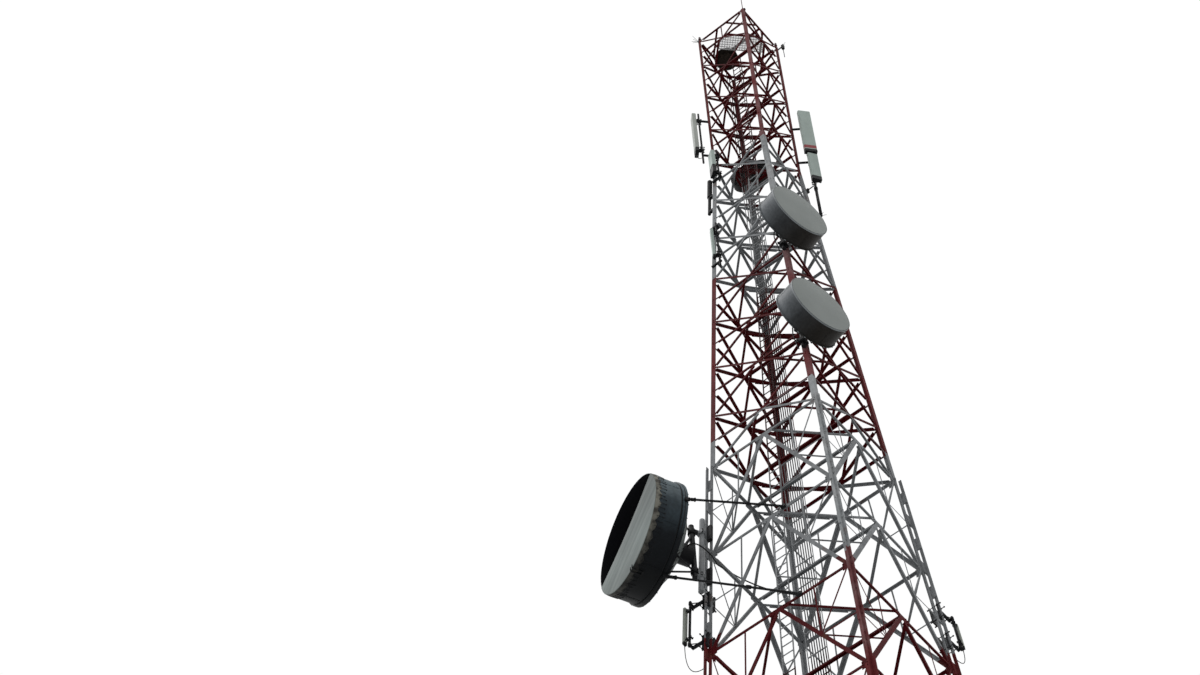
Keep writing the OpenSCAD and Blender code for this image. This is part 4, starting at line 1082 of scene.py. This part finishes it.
def low_clamp(f, m, z):
    """A clamp on the leg: upright plates outside and inside it, joined by threaded rods."""
    f.box(m, (LEG_BACK - 0.0103, -0.07, z - 0.125), (LEG_BACK - SEAT, 0.024, z + 0.125))
    f.box(m, (0.0645, -0.058, z - 0.125), (0.0765, 0.024, z + 0.125))
    start = LEG_BACK - 0.062
    nuts = [(x - start, x + 0.008 - start) for x in (LEG_BACK - 0.056, LEG_BACK - 0.02, 0.077, 0.09)]
    for up in (-0.105, 0.105):
        for y in (-0.062, 0.016):
            f.stud(m, (start, y, z + up), (0.1, y, z + up), 0.005, nuts, 0.01)


def low_bracket(f, m):
    """Holds the antenna's shell to its pole."""
    pole_clamp(f, m, 0.026)
    for x in (-0.014, 0.014):
        f.box(m, (x - 0.0025, -0.0487, -0.011), (x + 0.0025, -0.014, 0.011))
    f.rod(m, (-0.02, -0.036, 0), (0.02, -0.036, 0), 0.004)


def low_rig(f, name):
    """Dresses a low antenna's shell, and adds its pole, arms, clamps and socket."""
    m, pole, half, length, turn = LOW[name]
    up = tuple((m.to_3x3() @ Z_AXIS).normalized())
    bottom = m @ (pole - Z_AXIS * length / 2)
    tones = [(0.0, CAP), (0.03, LOW_SHELL)]
    dress("panel_" + name, capped(f"panel_{name}_shell", bottom, length, tones, up))
    reach = Z_AXIS * (half + 0.034)
    f.rod(m, pole - reach, pole + reach, POLE_R, 20)
    panel = m @ Matrix.Translation(pole) @ Matrix.Rotation(math.radians(turn), 4, "Z")
    for s in (-1, 1):
        low_arm(f, m, pole, s * half)
        low_clamp(f, m, s * half)
        low_bracket(f, panel @ Matrix.Translation((0, 0, s * length * 0.4)))
    plug(f, panel, 0.0, -0.066, -length / 2, 0.007)


rigs = Form("low_antenna_rigs", "dark_steel", DARK)
for name in LOW:
    low_rig(rigs, name)
rigs.done("poles_low")


# the height at which the nest and the top platform's grating lie
SHELF_Z = TOWER_H - TOP_PANEL_H / 2 + 0.0192
# the nest: a bowl wound round with twigs, grass in it and ends that stick out
NEST = at((-0.213, -0.06, SHELF_Z))
NEST_R, NEST_H = 0.195, 0.2
WOUND_TWIGS = 900
GRASS_ENDS = 260
LOOSE_ENDS = 110


def nest_radius(h):
    """The bowl's outer radius at a share of its height."""
    return NEST_R * math.cos(math.asin(min(1.0, max(-1.0, 1.766 * h - 0.766))))


def wound_twig(f, draw):
    h = draw.random() ** 0.8
    r = nest_radius(h) * draw.uniform(0.9, 0.985)
    a = draw.uniform(0, 360)
    sweep = draw.uniform(25, 75)
    rise = draw.uniform(-0.035, 0.035)
    points = []
    for j in range(5):
        u = j / 4
        z = min(max(h * NEST_H * 0.94 + rise * (u - 0.5) + 0.004, 0.003), NEST_H - 0.004)
        points.append(round_dish(a + sweep * u, r * (1 - 0.05 * abs(u - 0.5)), z))
    f.path(NEST, points, draw.uniform(0.001, 0.0024), 4)


def grass_end(f, draw):
    a = draw.uniform(0, 360)
    r = draw.uniform(0.45, 0.8) * NEST_R
    foot = round_dish(a, r, 0.15)
    tip = round_dish(a + draw.uniform(-40, 40), r * draw.uniform(0.8, 1.15), draw.uniform(0.175, NEST_H))
    f.path(NEST, [foot, foot.lerp(tip, 0.5) + Z_AXIS * 0.006, tip], 0.0012, 3, 1)


def loose_end(f, draw):
    a = draw.uniform(0, 360)
    h = draw.uniform(0.15, 0.75)
    foot = round_dish(a, nest_radius(h) * 0.9, h * NEST_H)
    turn = draw.uniform(10, 35)
    tip = round_dish(a + turn, nest_radius(h), min(NEST_H, h * NEST_H + draw.uniform(-0.02, 0.03)))
    f.path(NEST, [foot, tip], 0.0013, 3)


def nest_twigs():
    draw = random.Random(21)
    grass = plain("dry_grass", (0.13, 0.105, 0.07), 0.9, 30.0, 0.4)
    f = Form("nest_twigs", "twigs", MATS["twigs"], grass)
    bowl = [(0.001, 0.004), (0.62 * NEST_R, 0.004), (0.9 * NEST_R, 0.055), (0.93 * NEST_R, 0.11),
            (0.72 * NEST_R, 0.165), (0.38 * NEST_R, 0.15), (0.001, 0.12)]
    f.lathe(NEST, bowl, 40)
    for count, twig in ((WOUND_TWIGS, wound_twig), (GRASS_ENDS, grass_end), (LOOSE_ENDS, loose_end)):
        for _ in range(count):
            twig(f, draw)
    f.done("nest")


nest_twigs()

# the grating lies across a corner: its frame, its sides, half its length and its near edge
GRATE = at((0, 0, SHELF_Z)) @ Matrix.Rotation(math.pi / 4, 4, "Z")
GRATE_SIDE = half_w(TOWER_H) - 0.014 - 0.03
GRATE_HALF = (half_w(TOWER_H) - 0.014 + 0.075) * S45 - 0.006
GRATE_NEAR = 0.092
WIRE_R = 0.0013
WIRE_PITCH = 0.01


def grate_span(offset, low, high):
    """Where a wire at an offset starts and ends between the grating's sides."""
    limit = math.sqrt(2) * GRATE_SIDE - abs(offset)
    return max(low, -limit) + 0.004, min(high, limit) - 0.004


def platform_wires():
    """Wires between the grating's bars, both ways."""
    f = Form("platform_wires", "galvanised", PLATFORM)
    for k in range(-33, 34):
        x = k * WIRE_PITCH
        a, b = grate_span(x, -GRATE_HALF, -GRATE_NEAR)
        if b > a and abs(x) < GRATE_HALF:
            f.rod(GRATE, (x, a, 0.0015), (x, b, 0.0015), WIRE_R, 4)
    for k in range(int((GRATE_HALF - GRATE_NEAR) / WIRE_PITCH)):
        y = -GRATE_NEAR - WIRE_PITCH / 2 - k * WIRE_PITCH
        a, b = grate_span(y, -GRATE_HALF, GRATE_HALF)
        if b > a:
            f.rod(GRATE, (a, y, 0.004), (b, y, 0.004), WIRE_R, 4)
    f.done()


WHISKER_TIPS = ((-0.075, -0.02, 0.16), (-0.11, 0.01, 0.12), (-0.055, -0.06, 0.19),
                (-0.09, -0.045, 0.06))


def top_fittings():
    """Whiskers on the left leg's top, a bracket with its bar on the right one, a knob on the near one."""
    f = Form("top_fittings", "dark_steel", DARK)
    left = at((-CORNER, -CORNER, TOWER_H))
    for tip in WHISKER_TIPS:
        f.path(left, [(0.008, 0.008, -0.02), Vector(tip) * 0.6, tip], 0.003, 5)
    f.rod(left, (0.006, 0.006, -0.06), (0.006, 0.006, 0.012), 0.01)
    right = at((CORNER, CORNER, TOWER_H))
    f.box(right, (-0.01, SEAT, -0.075), (0.085, 0.012, -0.045))
    f.box(right, (0.06, SEAT, -0.12), (0.1, 0.04, 0.01))
    f.rod(right, (0.08, 0.02, -0.42), (0.08, 0.02, -0.12), 0.006)
    for x, y, z in ((0.11, 0.05, 0.068), (0.14, 0.02, 0.048), (0.09, 0.08, 0.058)):
        f.rod(right, (0.08, 0.02, 0.008), (x, y, z), 0.0025, 5)
    near = at((CORNER - 0.006, -CORNER + 0.05, TOWER_H))
    f.rod(near, (0, 0, -0.03), (0, 0, 0.03), 0.012, 12)
    f.rod(near, (0, 0, 0.03), (0, 0, 0.062), 0.02, 16, 0, 0.014)
    f.done()


def right_pole_bar():
    """A thick bar below the right pole, with an arm to the leg."""
    f = Form("right_pole_bar", "dark_steel", DARK)
    pole_end = TOWER_H - 3.95 - 1.3
    bar = at((RIGHT_POLE.x, RIGHT_POLE.y, pole_end))
    f.rod(bar, (0, 0, -0.33), (0, 0, 0.52), 0.022, 16)
    f.rod(bar, (0, 0, 0.44), (0, 0, 0.5), 0.028, 16)
    for x, y in ((0.06, -0.03), (-0.05, 0.05), (0.07, 0.03), (-0.06, -0.02)):
        f.rod(bar, (0, 0, -0.322), (x, y, -0.332), 0.003, 5)
    arm_z = pole_end + 0.47
    leg = at((half_w(arm_z), half_w(arm_z), arm_z))
    reach = RIGHT_POLE.x + 0.01 - half_w(arm_z)
    f.box(leg, (-0.03, 0.0004, -0.01), (reach, 0.008, 0.012))
    for z in (-0.03, 0.03):
        f.box(leg, (-0.06, SEAT, z - 0.02), (0.03, 0.03, z + 0.02))
    f.done()


def rear_dish_ribs():
    """The back of the far leg's dish: ribs, a ring and the rim's bolts."""
    f = Form("rear_dish_ribs", "dark_steel", DARK)
    z = TOWER_H - 2.94
    back = facing((0.01 - half_w(z), half_w(z) + 0.1, z), 105)
    for k in range(18):
        f.rod(back, round_dish(20 * k, 0.07, 0.0395), round_dish(20 * k, 0.32, 0.093), 0.0045, 6)
    f.lathe(back, [(0.196, 0.064), (0.206, 0.066), (0.206, 0.054), (0.196, 0.052)], 60)
    for k in range(24):
        f.bolt(spoke(back, 15 * k, 0.3302), (0, 0, 0.15), (1, 0, 0), 0.005, 0.004)
    f.done()


platform_wires()
top_fittings()
right_pole_bar()
rear_dish_ribs()

# floor
FLOOR_HALF = 250.0
FLOOR_DROP = 0.002


def pale_floor():
    me = bpy.data.meshes.new("floor")
    corners = [(x * FLOOR_HALF, y * FLOOR_HALF, 0) for x, y in ((-1, -1), (1, -1), (1, 1), (-1, 1))]
    me.from_pydata(corners, [], [(0, 1, 2, 3)])
    me.materials.append(plain("floor_pale", (0.43, 0.44, 0.44), 0.8, 0.5, 0.96))
    floor = bpy.data.objects.new("floor", me)
    root.link(floor)
    floor.location.z = -FLOOR_DROP


pale_floor()

bpy.context.scene.view_settings.view_transform = "Standard"

bpy.context.view_layer.update()
